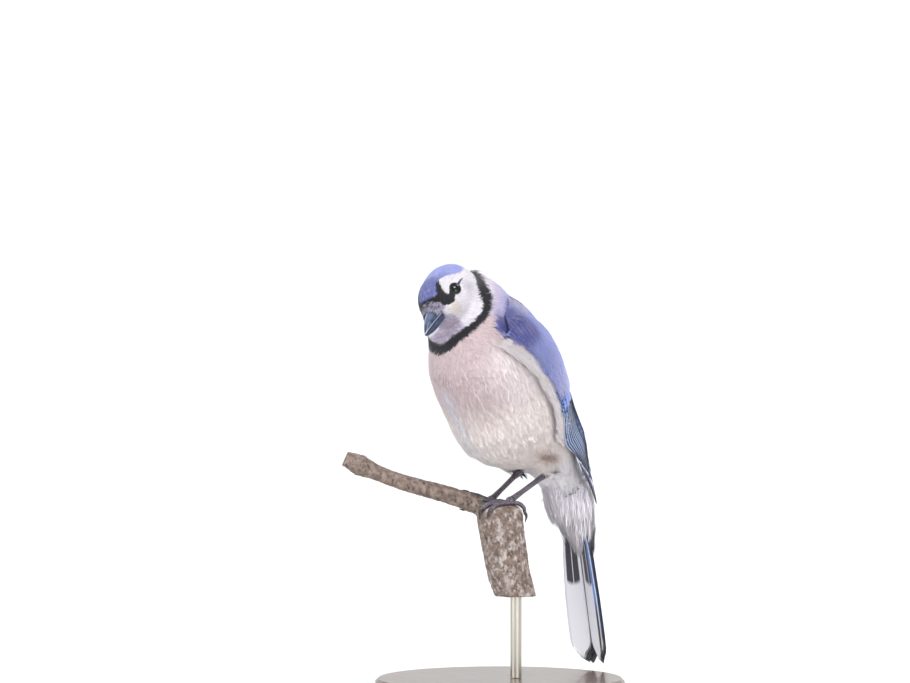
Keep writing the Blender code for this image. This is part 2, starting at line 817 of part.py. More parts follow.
def make_tarsus(side):
    """Bare scaly leg from the ankle down to the foot."""
    along = (FOOT - ANKLE).normalized()
    start = ANKLE - along * 3.5 * MM
    end = FOOT - along * TARSUS_END
    points = [start.lerp(end, f) for f in (0, 0.12, 0.3, 0.75, 1.0)]
    radii = [TARSUS_RADIUS * f for f in (1.7, 1.5, 1.0, 0.95, 1.2)]
    tarsus = tube("tarsus", points, radii, 10)
    cut_by_plane(tarsus, ANKLE + ankle_mitre() * GAP / 2, -ankle_mitre())
    if side > 0:
        return tarsus
    right = mirrored(tarsus, "tarsus_right")
    remove([tarsus])
    return right


def perch_radius(angle, level):
    """Radius of the stub at an angle and a level, with bark ridges."""
    ridges = 0.5 * math.sin(5 * angle + level / MM * 0.12)
    ridges += 0.35 * math.sin(9 * angle - level / MM * 0.2)
    taper = PERCH_TAPER * (PERCH_TOP - level) / (PERCH_TOP - PERCH_CUT)
    return PERCH_RADIUS - taper + ridges * MM


def perch_axis(level):
    f = min(max((PERCH_TOP - level) / (PERCH_TOP - PERCH_CUT), 0.0), 1.0)
    return VIEW_RIGHT * PERCH_LEAN * f ** 2


def stub():
    """The thick stub, sawn flat below and worn round at its top."""
    segments = 20
    rows = [(PERCH_CUT + (PERCH_TOP - PERCH_EDGE - PERCH_CUT) * k / 6, 0.0) for k in range(7)]
    rows += [(PERCH_TOP - PERCH_EDGE * (1 - math.sin(turn)), PERCH_EDGE * (1 - math.cos(turn)))
             for turn in (math.radians(d) for d in (35, 65, 90))]
    rows.append((PERCH_TOP + 0.4 * MM, 0.75 * PERCH_RADIUS))
    rings = []
    for level, inset in rows:
        centre = perch_axis(level) + Vector((0, 0, level))
        rings.append([centre + Vector((math.cos(2 * math.pi * i / segments),
                                       math.sin(2 * math.pi * i / segments), 0))
                      * (perch_radius(2 * math.pi * i / segments, level) - inset)
                      for i in range(segments)])
    return loft("perch", rings)


def twig_point(f):
    """Centre line of the side branch, from inside the stub out to its cut end."""
    return (VIEW_RIGHT * (-3 * MM - TWIG_LENGTH * f)
            + Vector((0, 0, PERCH_TOP - 4.5 * MM + TWIG_RISE * f + 1.2 * MM * math.sin(7 * f))))


def twig_radius(f):
    knuckle = math.exp(-((f - 0.9) / 0.07) ** 2)
    return TWIG_RADIUS * (1.25 - 0.35 * f) + (KNUCKLE_RADIUS - TWIG_RADIUS) * knuckle


def twig():
    steps = [k / 10 for k in range(11)]
    return tube("twig", [twig_point(f) for f in steps], [twig_radius(f) for f in steps], 12)


def make_perch():
    perch = stub()
    apply_boolean(perch, 'UNION', [twig()])
    return perch


def perch_walk(surface, start, heading, steps, stride):
    """Places and normals met on the perch when going straight on over its surface."""
    place, normal, _, _ = surface.find_nearest(start)
    trail = [(place, normal)]
    for _ in range(steps):
        heading = (heading - normal * heading.dot(normal)).normalized()
        place, found, _, _ = surface.find_nearest(place + heading * stride)
        normal = (normal + found).normalized()
        trail.append((place, normal))
    return trail


def toe_and_claw(surface, side, turn, length):
    """Centre lines of one toe, from the ball of the foot out, and of its claw."""
    heading = Vector((math.sin(math.radians(turn)), -math.cos(math.radians(turn)), 0))
    start = Vector((FOOT.x * side, FOOT.y, FOOT.z))
    stride = length / TOE_STEPS
    trail = perch_walk(surface, start, heading, TOE_STEPS, stride)
    toe = [start.lerp(trail[0][0], 0.3)]
    for k, (place, normal) in enumerate(trail[1:]):
        knuckle = 0.5 * math.sin(math.pi * (k + 1) / TOE_STEPS)
        toe.append(place + normal * TOE_RADIUS * (0.75 + knuckle))
    place, normal = trail[-1]
    onward = (toe[-1] - toe[-2]).normalized()
    hook = perch_walk(surface, place, onward, CLAW_STEPS, CLAW_LENGTH / CLAW_STEPS)
    claw = [toe[-1] - onward * TOE_RADIUS * 0.5]
    for k in range(CLAW_STEPS + 1):
        f = k / CLAW_STEPS
        rise = TOE_RADIUS * 0.75 + 0.9 * MM * math.sin(math.pi * min(f * 1.15, 1.0)) - 0.2 * MM * f
        claw.append(hook[k][0] + hook[k][1] * rise)
    return toe, claw


def make_claw(line, toe):
    """Curved claw that carries on from the end of a toe."""
    piece = tube("claw", line, [m * MM for m in CLAW_RADII], 6)
    onward = (toe[-1] - toe[-2]).normalized()
    cut_by_plane(piece, toe[-1] + onward * GAP, -onward)
    return piece


def make_foot(side):
    """Ball of the foot with four toes in one piece, and a claw for each toe."""
    centre = Vector((FOOT.x * side, FOOT.y, FOOT.z))
    ankle = Vector((ANKLE.x * side, ANKLE.y, ANKLE.z))
    foot = ball("foot", centre, BALL_RADIUS, 10, 6)
    along = (ankle - centre).normalized()
    cut_by_plane(foot, centre + along * (TARSUS_END - GAP), along)
    perch = make_perch()
    surface = BVHTree.FromPolygons([v.co[:] for v in perch.data.vertices],
                                   [face.vertices[:] for face in perch.data.polygons])
    toes = []
    claws = []
    for turn, length in TOES[side]:
        toe, line = toe_and_claw(surface, side, turn, length)
        toes.append(tube("toe", toe, [TOE_RADIUS * s for s in TOE_RADII], 6))
        claws.append(make_claw(line, toe))
    apply_boolean(foot, 'UNION', toes)
    for claw in claws:
        apply_boolean(claw, 'DIFFERENCE', [grown(make_perch(), GAP * 1.05)])
        keep_largest(claw)
    apply_boolean(foot, 'DIFFERENCE', [grown(perch, GAP * 1.05), grown(make_tarsus(side), GAP * 1.05)])
    keep_largest(foot)
    return foot, claws


# Stand

def make_stand_base():
    rings = []
    for level, inset in ((0, BASE_BEVEL), (BASE_BEVEL, 0), (BASE_HEIGHT - BASE_BEVEL, 0),
                         (BASE_HEIGHT, BASE_BEVEL)):
        rings.append([Vector(((BASE_RADIUS - inset) * math.cos(2 * math.pi * i / BASE_SEGMENTS),
                              (BASE_RADIUS - inset) * math.sin(2 * math.pi * i / BASE_SEGMENTS), level))
                      for i in range(BASE_SEGMENTS)])
    return loft("base", rings)


def make_stand_rod():
    foot = perch_axis(PERCH_CUT)
    low = foot + Vector((0, 0, BASE_HEIGHT + GAP))
    high = foot + Vector((0, 0, PERCH_CUT - GAP))
    return tube("rod", [low, high], [ROD_RADIUS, ROD_RADIUS], 16)


def build():
    for item in list(bpy.context.scene.objects):
        bpy.data.objects.remove(item)
    plumage = material("plumage", (0.46, 0.47, 0.6))
    face = material("face_plumage", (0.6, 0.6, 0.66))
    blue = material("wing_feather", (0.12, 0.24, 0.6))
    tail_blue = material("tail_feather", (0.16, 0.28, 0.6))
    horn = material("horn", (0.08, 0.1, 0.13), 0.35)
    glass = material("eye", (0.01, 0.008, 0.006), 0.05)
    scaly = material("leg_scale", (0.06, 0.05, 0.07), 0.5)
    bark = material("bark", (0.2, 0.15, 0.11), 0.9)
    wood = material("stand_wood", (0.12, 0.07, 0.045), 0.4)
    metal = material("stand_metal", (0.5, 0.48, 0.42), 0.3)

    finish(make_torso(), "torso", plumage)
    finish(make_neck(), "neck", plumage)
    finish(make_head(), "head", face)
    finish(make_eye(1), "eye_left", glass)
    finish(make_eye(-1), "eye_right", glass)
    finish(make_bill_upper(), "bill_upper", horn)
    finish(make_bill_lower(), "bill_lower", horn)
    for wing, name in zip(make_wings(), ("wing_left", "wing_right")):
        finish(wing, name, blue)
    finish(make_tail(), "tail", tail_blue)
    for thigh, name in zip(make_thighs(), ("thigh_left", "thigh_right")):
        finish(thigh, name, plumage)
    for side, name in ((1, "left"), (-1, "right")):
        finish(make_tarsus(side), "tarsus_" + name, scaly)
        foot, claws = make_foot(side)
        finish(foot, "foot_" + name, scaly)
        for number, piece in enumerate(claws, 1):
            finish(piece, f"claw_{name}_{number}", horn)
    finish(make_perch(), "perch", bark)
    finish(make_stand_rod(), "stand_rod", metal)
    finish(make_stand_base(), "stand_base", wood)


build()
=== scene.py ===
import math

import bmesh
import bpy
import numpy as np
from mathutils import Matrix, Vector
from mathutils.bvhtree import BVHTree
from mathutils.kdtree import KDTree


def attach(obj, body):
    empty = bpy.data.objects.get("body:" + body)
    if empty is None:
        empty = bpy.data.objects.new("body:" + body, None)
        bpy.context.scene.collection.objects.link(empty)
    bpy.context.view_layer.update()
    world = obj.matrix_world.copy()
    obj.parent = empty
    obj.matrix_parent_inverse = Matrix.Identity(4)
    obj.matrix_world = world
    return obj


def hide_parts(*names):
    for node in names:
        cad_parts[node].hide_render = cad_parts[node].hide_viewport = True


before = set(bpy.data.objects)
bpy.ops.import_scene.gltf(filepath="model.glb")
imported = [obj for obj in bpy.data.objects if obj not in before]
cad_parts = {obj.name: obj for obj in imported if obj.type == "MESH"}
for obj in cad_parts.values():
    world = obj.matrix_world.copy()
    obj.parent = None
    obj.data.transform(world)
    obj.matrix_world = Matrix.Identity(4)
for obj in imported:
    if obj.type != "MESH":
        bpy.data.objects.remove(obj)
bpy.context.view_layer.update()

# Lengths are in metres; MM turns millimetres into metres, and the tables are in millimetres
MM = 0.001

# The solids' own shape. Trunk and wing: forward, height, lean, half width, depth to the back and to the
# breast, shift to the left
TRUNK = np.array((
    (-57.0, 118.0, 60, 11.0, 11.5, 15.5, 0.0),
    (-47.0, 130.0, 53, 15.5, 13.8, 12.9, 0.0),
    (-35.0, 140.5, 47, 23.5, 18.5, 15.8, 0.0),
    (-23.0, 150.0, 48, 30.0, 25.0, 28.5, 0.0),
    (-11.5, 161.0, 53, 34.0, 28.5, 37.5, 0.0),
    (-2.0, 174.0, 58, 35.0, 29.5, 37.5, 0.0),
    (5.0, 187.0, 62, 34.5, 29.5, 39.5, 0.0),
    (10.5, 199.0, 60, 32.3, 28.5, 40.5, -0.7),
    (16.0, 209.5, 52, 28.3, 26.5, 37.8, -2.0),
    (22.5, 218.0, 42, 23.8, 27.0, 30.5, -4.6),
    (29.5, 222.6, 34, 19.2, 27.0, 20.5, -8.4),
))
HULL_TAIL = np.array((
    (-37.0, 141.5, 48, 24.0, 19.5, 15.0, 0.0),
    (-49.8, 125.6, 50, 17.6, 15.2, 12.0, 0.0),
    (-63.0, 104.5, 54, 13.0, 11.0, 10.0, 0.0),
))
WING = np.vstack((TRUNK[9:2:-1], HULL_TAIL))
WING_LENGTH = 123 * MM
CORE_START = -8 * MM
CORE_END = 58 * MM
TAIL_ROOT = np.array((0, 66.5, 118.0)) * MM
TAIL_TILT = math.radians(10.8)
TAIL_LENGTH = 103.5 * MM
TAIL_HALF_WIDTH = 12.2 * MM
TAIL_ROOF = math.tan(math.radians(20))
TAIL_DOWN = np.array((0, math.sin(TAIL_TILT), -math.cos(TAIL_TILT)))
TAIL_BACK = np.array((0, math.cos(TAIL_TILT), math.sin(TAIL_TILT)))
TAIL_PAIRS = 6
TAIL_LAYER = 0.55 * MM
HEAD_CENTRE = np.array((-8.0, -37.3, 226.6)) * MM
HEAD_TURN = math.radians(17.5)
HEAD_BOW = math.radians(27)
HEAD_TILT = math.radians(25)
# Head: forward, half width, height above and depth below
HEAD = np.array((
    (-23.0, 8.0, 9.0, 7.0),
    (-18.5, 14.5, 14.4, 13.5),
    (-12.5, 17.8, 16.7, 17.0),
    (-6.5, 18.0, 16.6, 17.8),
    (-1.0, 16.3, 16.2, 16.8),
    (4.0, 14.2, 15.8, 15.0),
    (8.5, 12.6, 14.4, 12.6),
    (12.5, 10.2, 11.8, 9.8),
    (15.5, 7.2, 8.0, 7.0),
))
BILL_BASE = 15.5 * MM
BILL_TIP = 34.8 * MM
BILL_HALF_WIDTH = 4.6 * MM
CULMEN_RISE = 4.2 * MM
CULMEN_DROP = 8.0 * MM
MOUTH_LEVEL = -2.0 * MM
MOUTH_DROP = 2.2 * MM
CHIN_DEPTH = 3.9 * MM
EYE_RADIUS = 4.6 * MM
EYE_PLACE = (2.2 * MM, 9.9 * MM, 3.4 * MM)
EYE_TOE_IN = math.radians(25)
EYE_MIDDLE = (3.9, 13.4, 4.6)
EYE_OPENING = 3.2 * MM
GAP = 0.3 * MM

# Fineness of the meshes, and how many small feathers there are
SKIN_VOXEL = 1.1 * MM
BARK_VOXEL = 0.75 * MM
WELD = 0.02 * MM
MOST_TRIANGLES = 190000
WING_BARBS = 12000
FLANK_BUNDLES = 330
BARBS_IN_BUNDLE = 7
TAIL_COVERTS = 2900
LID_TUFTS = 700
BRISTLES = 900

# Soft feathers: width of each one's patch on the map, the lightest tone, how much each is lit from its own
# side, its shades at root and tip, and the radii in which they bend back to the skin
PATCH = 0.003
LIGHTEST = 0.95
TURN_OF_BARB = 0.35
COAT_SHADES = (0.92, 1.06)
COAT_BEND = 26 * MM
WING_BEND = 32 * MM
TAIL_BEND = 60 * MM
BRISTLE_BEND = 14 * MM
LID_BEND = 6 * MM

# The camera, the floor and the backdrop, in metres
VIEW_AZIMUTH = math.radians(42)
VIEW_ELEVATION = math.radians(2)
VIEW_TARGET = Vector((-0.0187, -0.0169, 0.2028))
VIEW_DISTANCE = 3.0
LENS = 212
SENSOR = 36
FLOOR_HALF_WIDTH = 4.0
FLOOR_FRONT = -2.5
FLOOR_BACK = 0.9
CURVE_RADIUS = 0.8
CURVE_STEPS = 16
WALL_TOP = 3.0
LIGHTS_MIDDLE = Vector((0, 0, 0.16))
# Lights: metres toward the camera, to the right and up from their middle, size, energy, colour
LIGHTS = {
    "key": (1.1, 0.55, 1.5, 0.9, 20, (1.0, 0.98, 0.95)),
    "fill": (1.3, -1.3, 0.35, 1.4, 19, (0.94, 0.96, 1.0)),
    "low_right": (1.4, 1.1, 0.05, 1.0, 8, (1.0, 0.97, 0.98)),
    "rim": (-1.1, 0.9, 1.2, 0.8, 16, (0.95, 0.97, 1.0)),
    "back_left": (-0.9, -1.2, 1.0, 0.8, 8, (0.95, 0.97, 1.0)),
}
SKY = (0.95, 0.97, 1.0, 1)
SKY_STRENGTH = 0.60

POSE = np.array(Matrix.Rotation(HEAD_TURN, 3, 'Z') @ Matrix.Rotation(HEAD_BOW, 3, 'X')
                @ Matrix.Rotation(-HEAD_TILT, 3, 'Y'))
AHEAD = POSE @ np.array((0, -1, 0))
ASIDE = POSE @ np.array((1, 0, 0))
ABOVE = POSE @ np.array((0, 0, 1))

rng = np.random.default_rng(7)


# Shape helpers

def rows_at(rows, t):
    """Values of a smooth curve through the rows, where row k lies at t = k."""
    t = np.atleast_1d(np.asarray(t, float))
    last = len(rows) - 1
    k = np.clip(np.floor(t).astype(int), 0, last - 1)
    u = (t - k)[:, None]
    p1 = rows[k]
    p2 = rows[k + 1]
    p0 = np.where((k > 0)[:, None], rows[np.maximum(k - 1, 0)], 2 * p1 - p2)
    p3 = np.where((k + 2 <= last)[:, None], rows[np.minimum(k + 2, last)], 2 * p2 - p1)
    return 0.5 * (2 * p1 + (p2 - p0) * u + (2 * p0 - 5 * p1 + 4 * p2 - p3) * u ** 2
                  + (3 * p1 - p0 - 3 * p2 + p3) * u ** 3)


def hull(stations, t, around, lift=0.0):
    """Points over the stations: around is 0 at the back and a quarter turn at the left."""
    t, around, lift = np.broadcast_arrays(np.asarray(t, float), around, lift)
    forward, height, lean, width, back, breast, shift = rows_at(stations, t.ravel()).T
    around = around.ravel()
    lift = lift.ravel() / MM
    lean = np.radians(lean)
    depth = np.where(np.cos(around) > 0, back, breast)
    nx = np.sin(around) / width
    ny = np.cos(around) / depth
    size = np.hypot(nx, ny)
    side = width * np.sin(around) + nx / size * lift
    rise = depth * np.cos(around) + ny / size * lift
    return np.stack((shift + side, -forward + rise * np.sin(lean),
                     height + rise * np.cos(lean)), axis=1) * MM


def head_place(forward, left, up):
    forward, left, up = np.broadcast_arrays(forward, left, up)
    return (HEAD_CENTRE + forward[..., None] * AHEAD + left[..., None] * ASIDE
            + up[..., None] * ABOVE)


def head_local(points):
    """Forward, left and up of points in the head's own axes, in millimetres."""
    return ((points - HEAD_CENTRE) @ np.stack((AHEAD, ASIDE, ABOVE), axis=1)) / MM


def head_surface(forward, around, lift=0.0):
    """Points over the head: around is 0 at the crown and a quarter turn at the left."""
    t = np.interp(np.asarray(forward) / MM, HEAD[:, 0], np.arange(len(HEAD)))
    _, width, crown, chin = rows_at(HEAD, t).T
    depth = np.where(np.cos(around) > 0, crown, chin)
    nx = np.sin(around) / width
    ny = np.cos(around) / depth
    size = np.hypot(nx, ny)
    return head_place(np.asarray(forward) + 0 * t, width * MM * np.sin(around) + nx / size * lift,
                      depth * MM * np.cos(around) + ny / size * lift)


def wing_place(a, b, h):
    """Points on the left wing: a back from the shoulder, b up from the flank, h outward."""
    a, b, h = np.broadcast_arrays(a, b, h)
    last = len(WING) - 1
    t = np.clip(1 + a.ravel() / WING_LENGTH * (last - 1), 0, last)
    rows = rows_at(WING, t)
    radius = 0.5 * (rows[:, 3] + rows[:, 4]) * MM
    return hull(WING, t, math.pi / 2 - b.ravel() / radius, h.ravel())


def tail_place(a, b, h):
    """Points on the tail: a down from its root, b to the left, h outward from its upper side."""
    a, b, h = (x.ravel() for x in np.broadcast_arrays(a, b, h))
    level = h - np.abs(b) * TAIL_ROOF
    across = b[:, None] * np.array((1.0, 0, 0))
    return TAIL_ROOT + a[:, None] * TAIL_DOWN + across + level[:, None] * TAIL_BACK


def smooth(low, high, x):
    """0 before low, 1 past high, with a soft step between; low may be above high."""
    f = np.clip((np.asarray(x, float) - low) / (high - low), 0, 1)
    return f * f * (3 - 2 * f)


def unit(v):
    return v / np.maximum(np.linalg.norm(v, axis=-1, keepdims=True), 1e-12)


# Mesh helpers

def flat_array(values, kind=np.float32):
    return np.ascontiguousarray(values, dtype=kind).ravel()


def add_object(name, mesh):
    piece = bpy.data.objects.new(name, mesh)
    bpy.context.scene.collection.objects.link(piece)
    return piece


def make_mesh(name, points, faces, attributes=None, uv=None, normals=None):
    """Mesh from arrays; faces is an integer array with one face per row."""
    mesh = bpy.data.meshes.new(name)
    count, corners = faces.shape
    mesh.vertices.add(len(points))
    mesh.vertices.foreach_set("co", flat_array(points))
    mesh.loops.add(count * corners)
    mesh.loops.foreach_set("vertex_index", flat_array(faces, np.int32))
    mesh.polygons.add(count)
    mesh.polygons.foreach_set("loop_start", np.arange(0, count * corners, corners, dtype=np.int32))
    mesh.update(calc_edges=True)
    for key, values in (attributes or {}).items():
        layer = mesh.attributes.new(key, 'FLOAT_VECTOR', 'POINT')
        layer.data.foreach_set("vector", flat_array(values))
    if uv is not None:
        layer = mesh.uv_layers.new(name="OFBake")
        layer.uv.foreach_set("vector", flat_array(uv[faces.ravel()]))
    mesh.shade_smooth()
    if normals is not None:
        mesh.normals_split_custom_set_from_vertices(np.ascontiguousarray(normals, dtype=np.float32))
    return add_object(name, mesh)


def item_values(items, key, size, kind=float):
    """Values of one key of a mesh's vertices, edges or loops, in rows of the size."""
    out = np.empty(len(items) * size, dtype=kind)
    items.foreach_get(key, out)
    return out.reshape(-1, size)


def remeshed(piece, voxel):
    """Points, edges and quads of an even mesh over the piece, which is removed."""
    change = piece.modifiers.new("remesh", 'REMESH')
    change.mode = 'VOXEL'
    change.voxel_size = voxel
    mesh = bpy.data.meshes.new_from_object(piece.evaluated_get(bpy.context.evaluated_depsgraph_get()))
    bpy.data.objects.remove(piece)
    co = item_values(mesh.vertices, "co", 3)
    edges = item_values(mesh.edges, "vertices", 2, np.int32)
    quads = item_values(mesh.loops, "vertex_index", 1, np.int32).reshape(-1, 4)
    bpy.data.meshes.remove(mesh)
    return co, edges, quads


def finish(piece, material, slot, *nodes):
    """Gives the piece its material and its place in the frame."""
    piece.data.materials.clear()
    piece.data.materials.append(material)
    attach(piece, "root")
    if nodes:
        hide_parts(*nodes)


def grid_faces(rows, columns, wrap=False):
    """Quads of a grid of points, row by row."""
    across = columns if wrap else columns - 1
    i, j = np.meshgrid(np.arange(rows - 1), np.arange(across), indexing="ij")
    a = (i * columns + j).ravel()
    b = (i * columns + (j + 1) % columns).ravel()
    return np.stack((a, b, b + columns, a + columns), axis=1)


def shell_faces(rows, columns):
    """Quads of a closed thin sheet: a top grid, then a bottom grid, joined round the rim."""
    top = grid_faces(rows, columns)
    count = rows * columns
    low = top[:, ::-1] + count
    rim = np.concatenate((np.arange(columns), np.arange(1, rows) * columns + columns - 1,
                          (rows - 1) * columns + np.arange(columns - 2, -1, -1),
                          np.arange(rows - 2, 0, -1) * columns))
    after = np.roll(rim, -1)
    sides = np.stack((after, rim, rim + count, after + count), axis=1)
    return np.vstack((top, low, sides))


def closed(points, faces, rows, segments):
    """Adds a fan at each end of a wrapped grid, with its quads split in triangles."""
    caps = np.vstack((points[:segments].mean(axis=0), points[-segments:].mean(axis=0)))
    total = len(points)
    tri = np.vstack((faces[:, [0, 1, 2]], faces[:, [0, 2, 3]]))
    j = np.arange(segments)
    k = (j + 1) % segments
    start = np.stack((k, j, np.full(segments, total)), axis=1)
    last = (rows - 1) * segments
    end = np.stack((last + j, last + k, np.full(segments, total + 1)), axis=1)
    return np.vstack((points, caps)), np.vstack((tri, start, end))


# Noise that is the same in every run

def wobble(points, scale, seed=0):
    """Smooth value from -1 to 1 over space, from a few crossed waves."""
    draw = np.random.default_rng(seed)
    total = np.zeros(len(points))
    for octave in range(5):
        direction = unit(draw.normal(size=(3, 3)))
        phase = draw.uniform(0, 2 * math.pi, 3)
        waves = np.sin(points @ direction.T * (2 * math.pi / scale) * 1.37 ** octave + phase)
        total += waves.prod(axis=1) + 0.4 * waves[:, 0]
    return np.tanh(total * 0.6)


# Skin: trunk, neck, head and thighs in one, inside the solids by the coat's depth

# Depths in millimetres: on the face, and how much more or less elsewhere
FACE_DEPTH = 0.7
HEAD_DEEPER = 0.5
BODY_DEEPER = 1.0
VENT_SHALLOWER = 0.9
# Height below which the feathers of the vent begin
VENT_LEVEL = 0.128


def head_form():
    rows = 30
    segments = 48
    start = HEAD[0, 0] * MM
    forward = start + (BILL_BASE - start) * (1 - np.cos(np.linspace(0, math.pi, rows))) / 2
    turn = np.linspace(0, 2 * math.pi, segments, endpoint=False)
    f, a = np.meshgrid(forward, turn, indexing="ij")
    points = head_surface(f.ravel(), a.ravel())
    return make_mesh("head_form", *closed(points, grid_faces(rows, segments, wrap=True), rows, segments))


def skin_depth(points):
    """How far the skin lies inside the solids: least on the face, most on the body, less at the vent."""
    local = head_local(points)
    reach = np.linalg.norm(local - np.array((14.0, 0, 0)), axis=1)
    depth = FACE_DEPTH + HEAD_DEEPER * smooth(12, 24, reach) + BODY_DEEPER * smooth(26, 44, reach)
    low = smooth(0.140, VENT_LEVEL, points[:, 2])
    return (depth - VENT_SHALLOWER * low) * MM


def flank_form(side):
    """Fills the hollow that the solid wing leaves in the trunk below the wing's edge as seen."""
    rows = 50
    columns = 14
    thickness = 6 * MM
    sunk = 4.6 * MM
    a, f = np.meshgrid(np.linspace(-12, 75, rows) * MM, np.linspace(0, 1, columns), indexing="ij")
    low = edge_at(SOLID_EDGE, a) - 5 * MM
    b = low + (lower_edge(a) + 4 * MM - low) * f
    h = -sunk * (1 - f) ** 1.6 - 3.0 * MM * smooth(60 * MM, 75 * MM, a)
    points = np.vstack((wing_place(a, b, h), wing_place(a, b, h - thickness))) * (side, 1, 1)
    faces = shell_faces(rows, columns)
    return make_mesh("flank_form", points, faces if side > 0 else faces[:, ::-1])


def solid_form(node):
    """Copy of a solid, drawn outward a little so that it merges with its neighbours."""
    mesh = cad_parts[node].data.copy()
    shape = bmesh.new()
    shape.from_mesh(mesh)
    bmesh.ops.remove_doubles(shape, verts=shape.verts, dist=WELD)
    bmesh.ops.recalc_face_normals(shape, faces=shape.faces)
    shape.normal_update()
    moves = [v.normal * 0.35 * MM for v in shape.verts]
    for vertex, move in zip(shape.verts, moves):
        vertex.co += move
    shape.to_mesh(mesh)
    shape.free()
    return add_object(node + "_form", mesh)


def merged(parts):
    """Points and triangles of all the parts, which are removed."""
    points = []
    faces = []
    start = 0
    for piece in parts:
        mesh = piece.data
        mesh.calc_loop_triangles()
        points.append(item_values(mesh.vertices, "co", 3))
        faces.append(item_values(mesh.loop_triangles, "vertices", 3, np.int32) + start)
        start += len(mesh.vertices)
        bpy.data.objects.remove(piece)
    return np.vstack(points), np.vstack(faces)


def relaxed(co, edges):
    """The points evened out, most of all in the crease between head and trunk."""
    everywhere = 6
    steps = 26
    degree = np.bincount(edges.ravel(), minlength=len(co))[:, None]
    local = head_local(co)
    crease = smooth(30, 20, np.abs(np.linalg.norm(local, axis=1) - 4))[:, None] * smooth(6, -4, local[:, :1])
    for step in range(steps):
        total = np.zeros_like(co)
        for here, there in (edges.T, edges.T[::-1]):
            for k in range(3):
                total[:, k] += np.bincount(here, weights=co[there, k], minlength=len(co))
        rate = 0.5 if step < everywhere else 0.5 * crease
        co = co + (total / degree - co) * rate
    return co


def make_skin():
    nodes = ("torso", "neck", "thigh_left", "thigh_right")
    parts = [head_form(), *(solid_form(node) for node in nodes), flank_form(1), flank_form(-1)]
    co, edges, quads = remeshed(make_mesh("skin", *merged(parts)), SKIN_VOXEL)
    co = relaxed(co, edges)
    return co - vertex_normals(co, quads) * skin_depth(co)[:, None], quads


def vertex_normals(co, quads):
    face = np.cross(co[quads[:, 2]] - co[quads[:, 0]], co[quads[:, 3]] - co[quads[:, 1]])
    normals = np.zeros_like(co)
    for corner in range(4):
        for k in range(3):
            normals[:, k] += np.bincount(quads[:, corner], weights=face[:, k], minlength=len(co))
    return unit(normals)


# Lie of the coat, markings

def point_tree(points):
    tree = KDTree(len(points))
    for k, p in enumerate(points):
        tree.insert(p, k)
    tree.balance()
    return tree


def trunk_lookup():
    """The trunk's hull just below its surface, with the station and turn of each of its points."""
    stations = np.linspace(0, len(TRUNK) - 1, 141)
    turns = np.linspace(-math.pi, math.pi, 90, endpoint=False)
    t, a = (x.ravel() for x in np.meshgrid(stations, turns, indexing="ij"))
    return point_tree(hull(TRUNK, t, a, -1.5 * MM)), t, a


def trunk_coords(points, lookup):
    """Station and angle round the trunk of the nearest hull point, for each point."""
    tree, t, a = lookup
    found = np.array([tree.find(p)[1] for p in points])
    return t[found], a[found]


def coat_flow(points, t):
    """Direction in which the coat lies: away from the bill on the head, tailward on the trunk."""
    lean = np.radians(rows_at(TRUNK, t)[:, 2])
    tailward = np.stack((np.zeros(len(t)), np.cos(lean), -np.sin(lean)), axis=1)
    bill = head_place(18 * MM, 0 * MM, 0.5 * MM)
    away = points - bill
    reach = np.linalg.norm(away, axis=1) / MM
    share = smooth(24, 44, reach)[:, None]
    return unit(unit(away) * (1 - share) + tailward * share)


BLACK = np.array((0.010, 0.009, 0.015))
BLUE = np.array((0.30, 0.34, 0.76))
CROWN = np.array((0.34, 0.38, 0.80))
FOREHEAD = np.array((0.11, 0.13, 0.38))
# deep blue of the wing's bend: partly its own colour, partly painted shade
DEEP_BLUE_AND_SHADE = np.array((0.062, 0.068, 0.27))
LILAC = np.array((0.62, 0.56, 0.74))
WHITE = np.array((0.90, 0.87, 0.93))
CHEEK = np.array((0.84, 0.80, 0.87))
BREAST = np.array((0.65, 0.52, 0.535))
BELLY = np.array((0.90, 0.80, 0.77))
FLANK = np.array((0.84, 0.74, 0.76))
SMOKE = np.array((0.30, 0.25, 0.34))
CREAM = np.array((0.74, 0.65, 0.56))
COOL_WHITE = np.array((0.66, 0.70, 0.80))
THIGH = np.array((0.30, 0.19, 0.15))
BARK = np.array((0.24, 0.18, 0.15))
LICHEN = np.array((0.62, 0.56, 0.54))
# deep blue of the folded wing's bend: partly its own colour, partly painted shade
WING_DEEP_AND_SHADE = np.array((0.085, 0.105, 0.42))
WING_MIDDLE = np.array((0.30, 0.36, 0.82))
WING_PALE = np.array((0.47, 0.50, 0.90))

# How far round the trunk from the back the blue reaches, in degrees, by station
BLUE_EDGE = ((0, 1.5, 3, 4, 5, 6, 7, 7.5, 8.0, 8.68, 8.9, 9.15, 9.4, 10),
             (56, 60, 68, 72, 72, 80, 88, 95, 101, 102, 96, 88, 74, 60))
# Black collar: middle of the band and its half width, in the head's own axes in millimetres,
# from the nape down the left of the neck, across the throat and up the right
COLLAR = ((-26.3, 0, 5.6, 5.6), (-25.8, 6.8, 4.3, 5.4), (-21.9, 12.3, 1.3, 4.9),
          (-17.0, 15.5, -2.5, 4.1), (-11.5, 19.0, -6.6, 3.7), (-7.7, 19.8, -11.0, 3.1),
          (-3.7, 19.8, -14.2, 2.6), (-0.4, 19.0, -16.0, 2.3), (3.5, 16.9, -17.3, 2.2),
          (8.1, 12.6, -18.1, 2.2), (11.9, 6.9, -18.4, 2.3), (14.6, 1.1, -19.0, 2.6),
          (16.5, -4.7, -20.1, 2.9), (16.5, -10.6, -20.0, 3.1), (13.1, -15.8, -17.6, 3.2),
          (6.0, -19.6, -16.0, 2.8), (-2.0, -20.4, -14.0, 2.7), (-7.7, -19.8, -11.0, 3.3),
          (-11.5, -19.0, -6.6, 3.7), (-17.0, -15.5, -2.5, 4.1), (-21.9, -12.3, 1.3, 4.9),
          (-25.8, -6.8, 4.3, 5.4), (-26.3, 0, 5.6, 5.6))
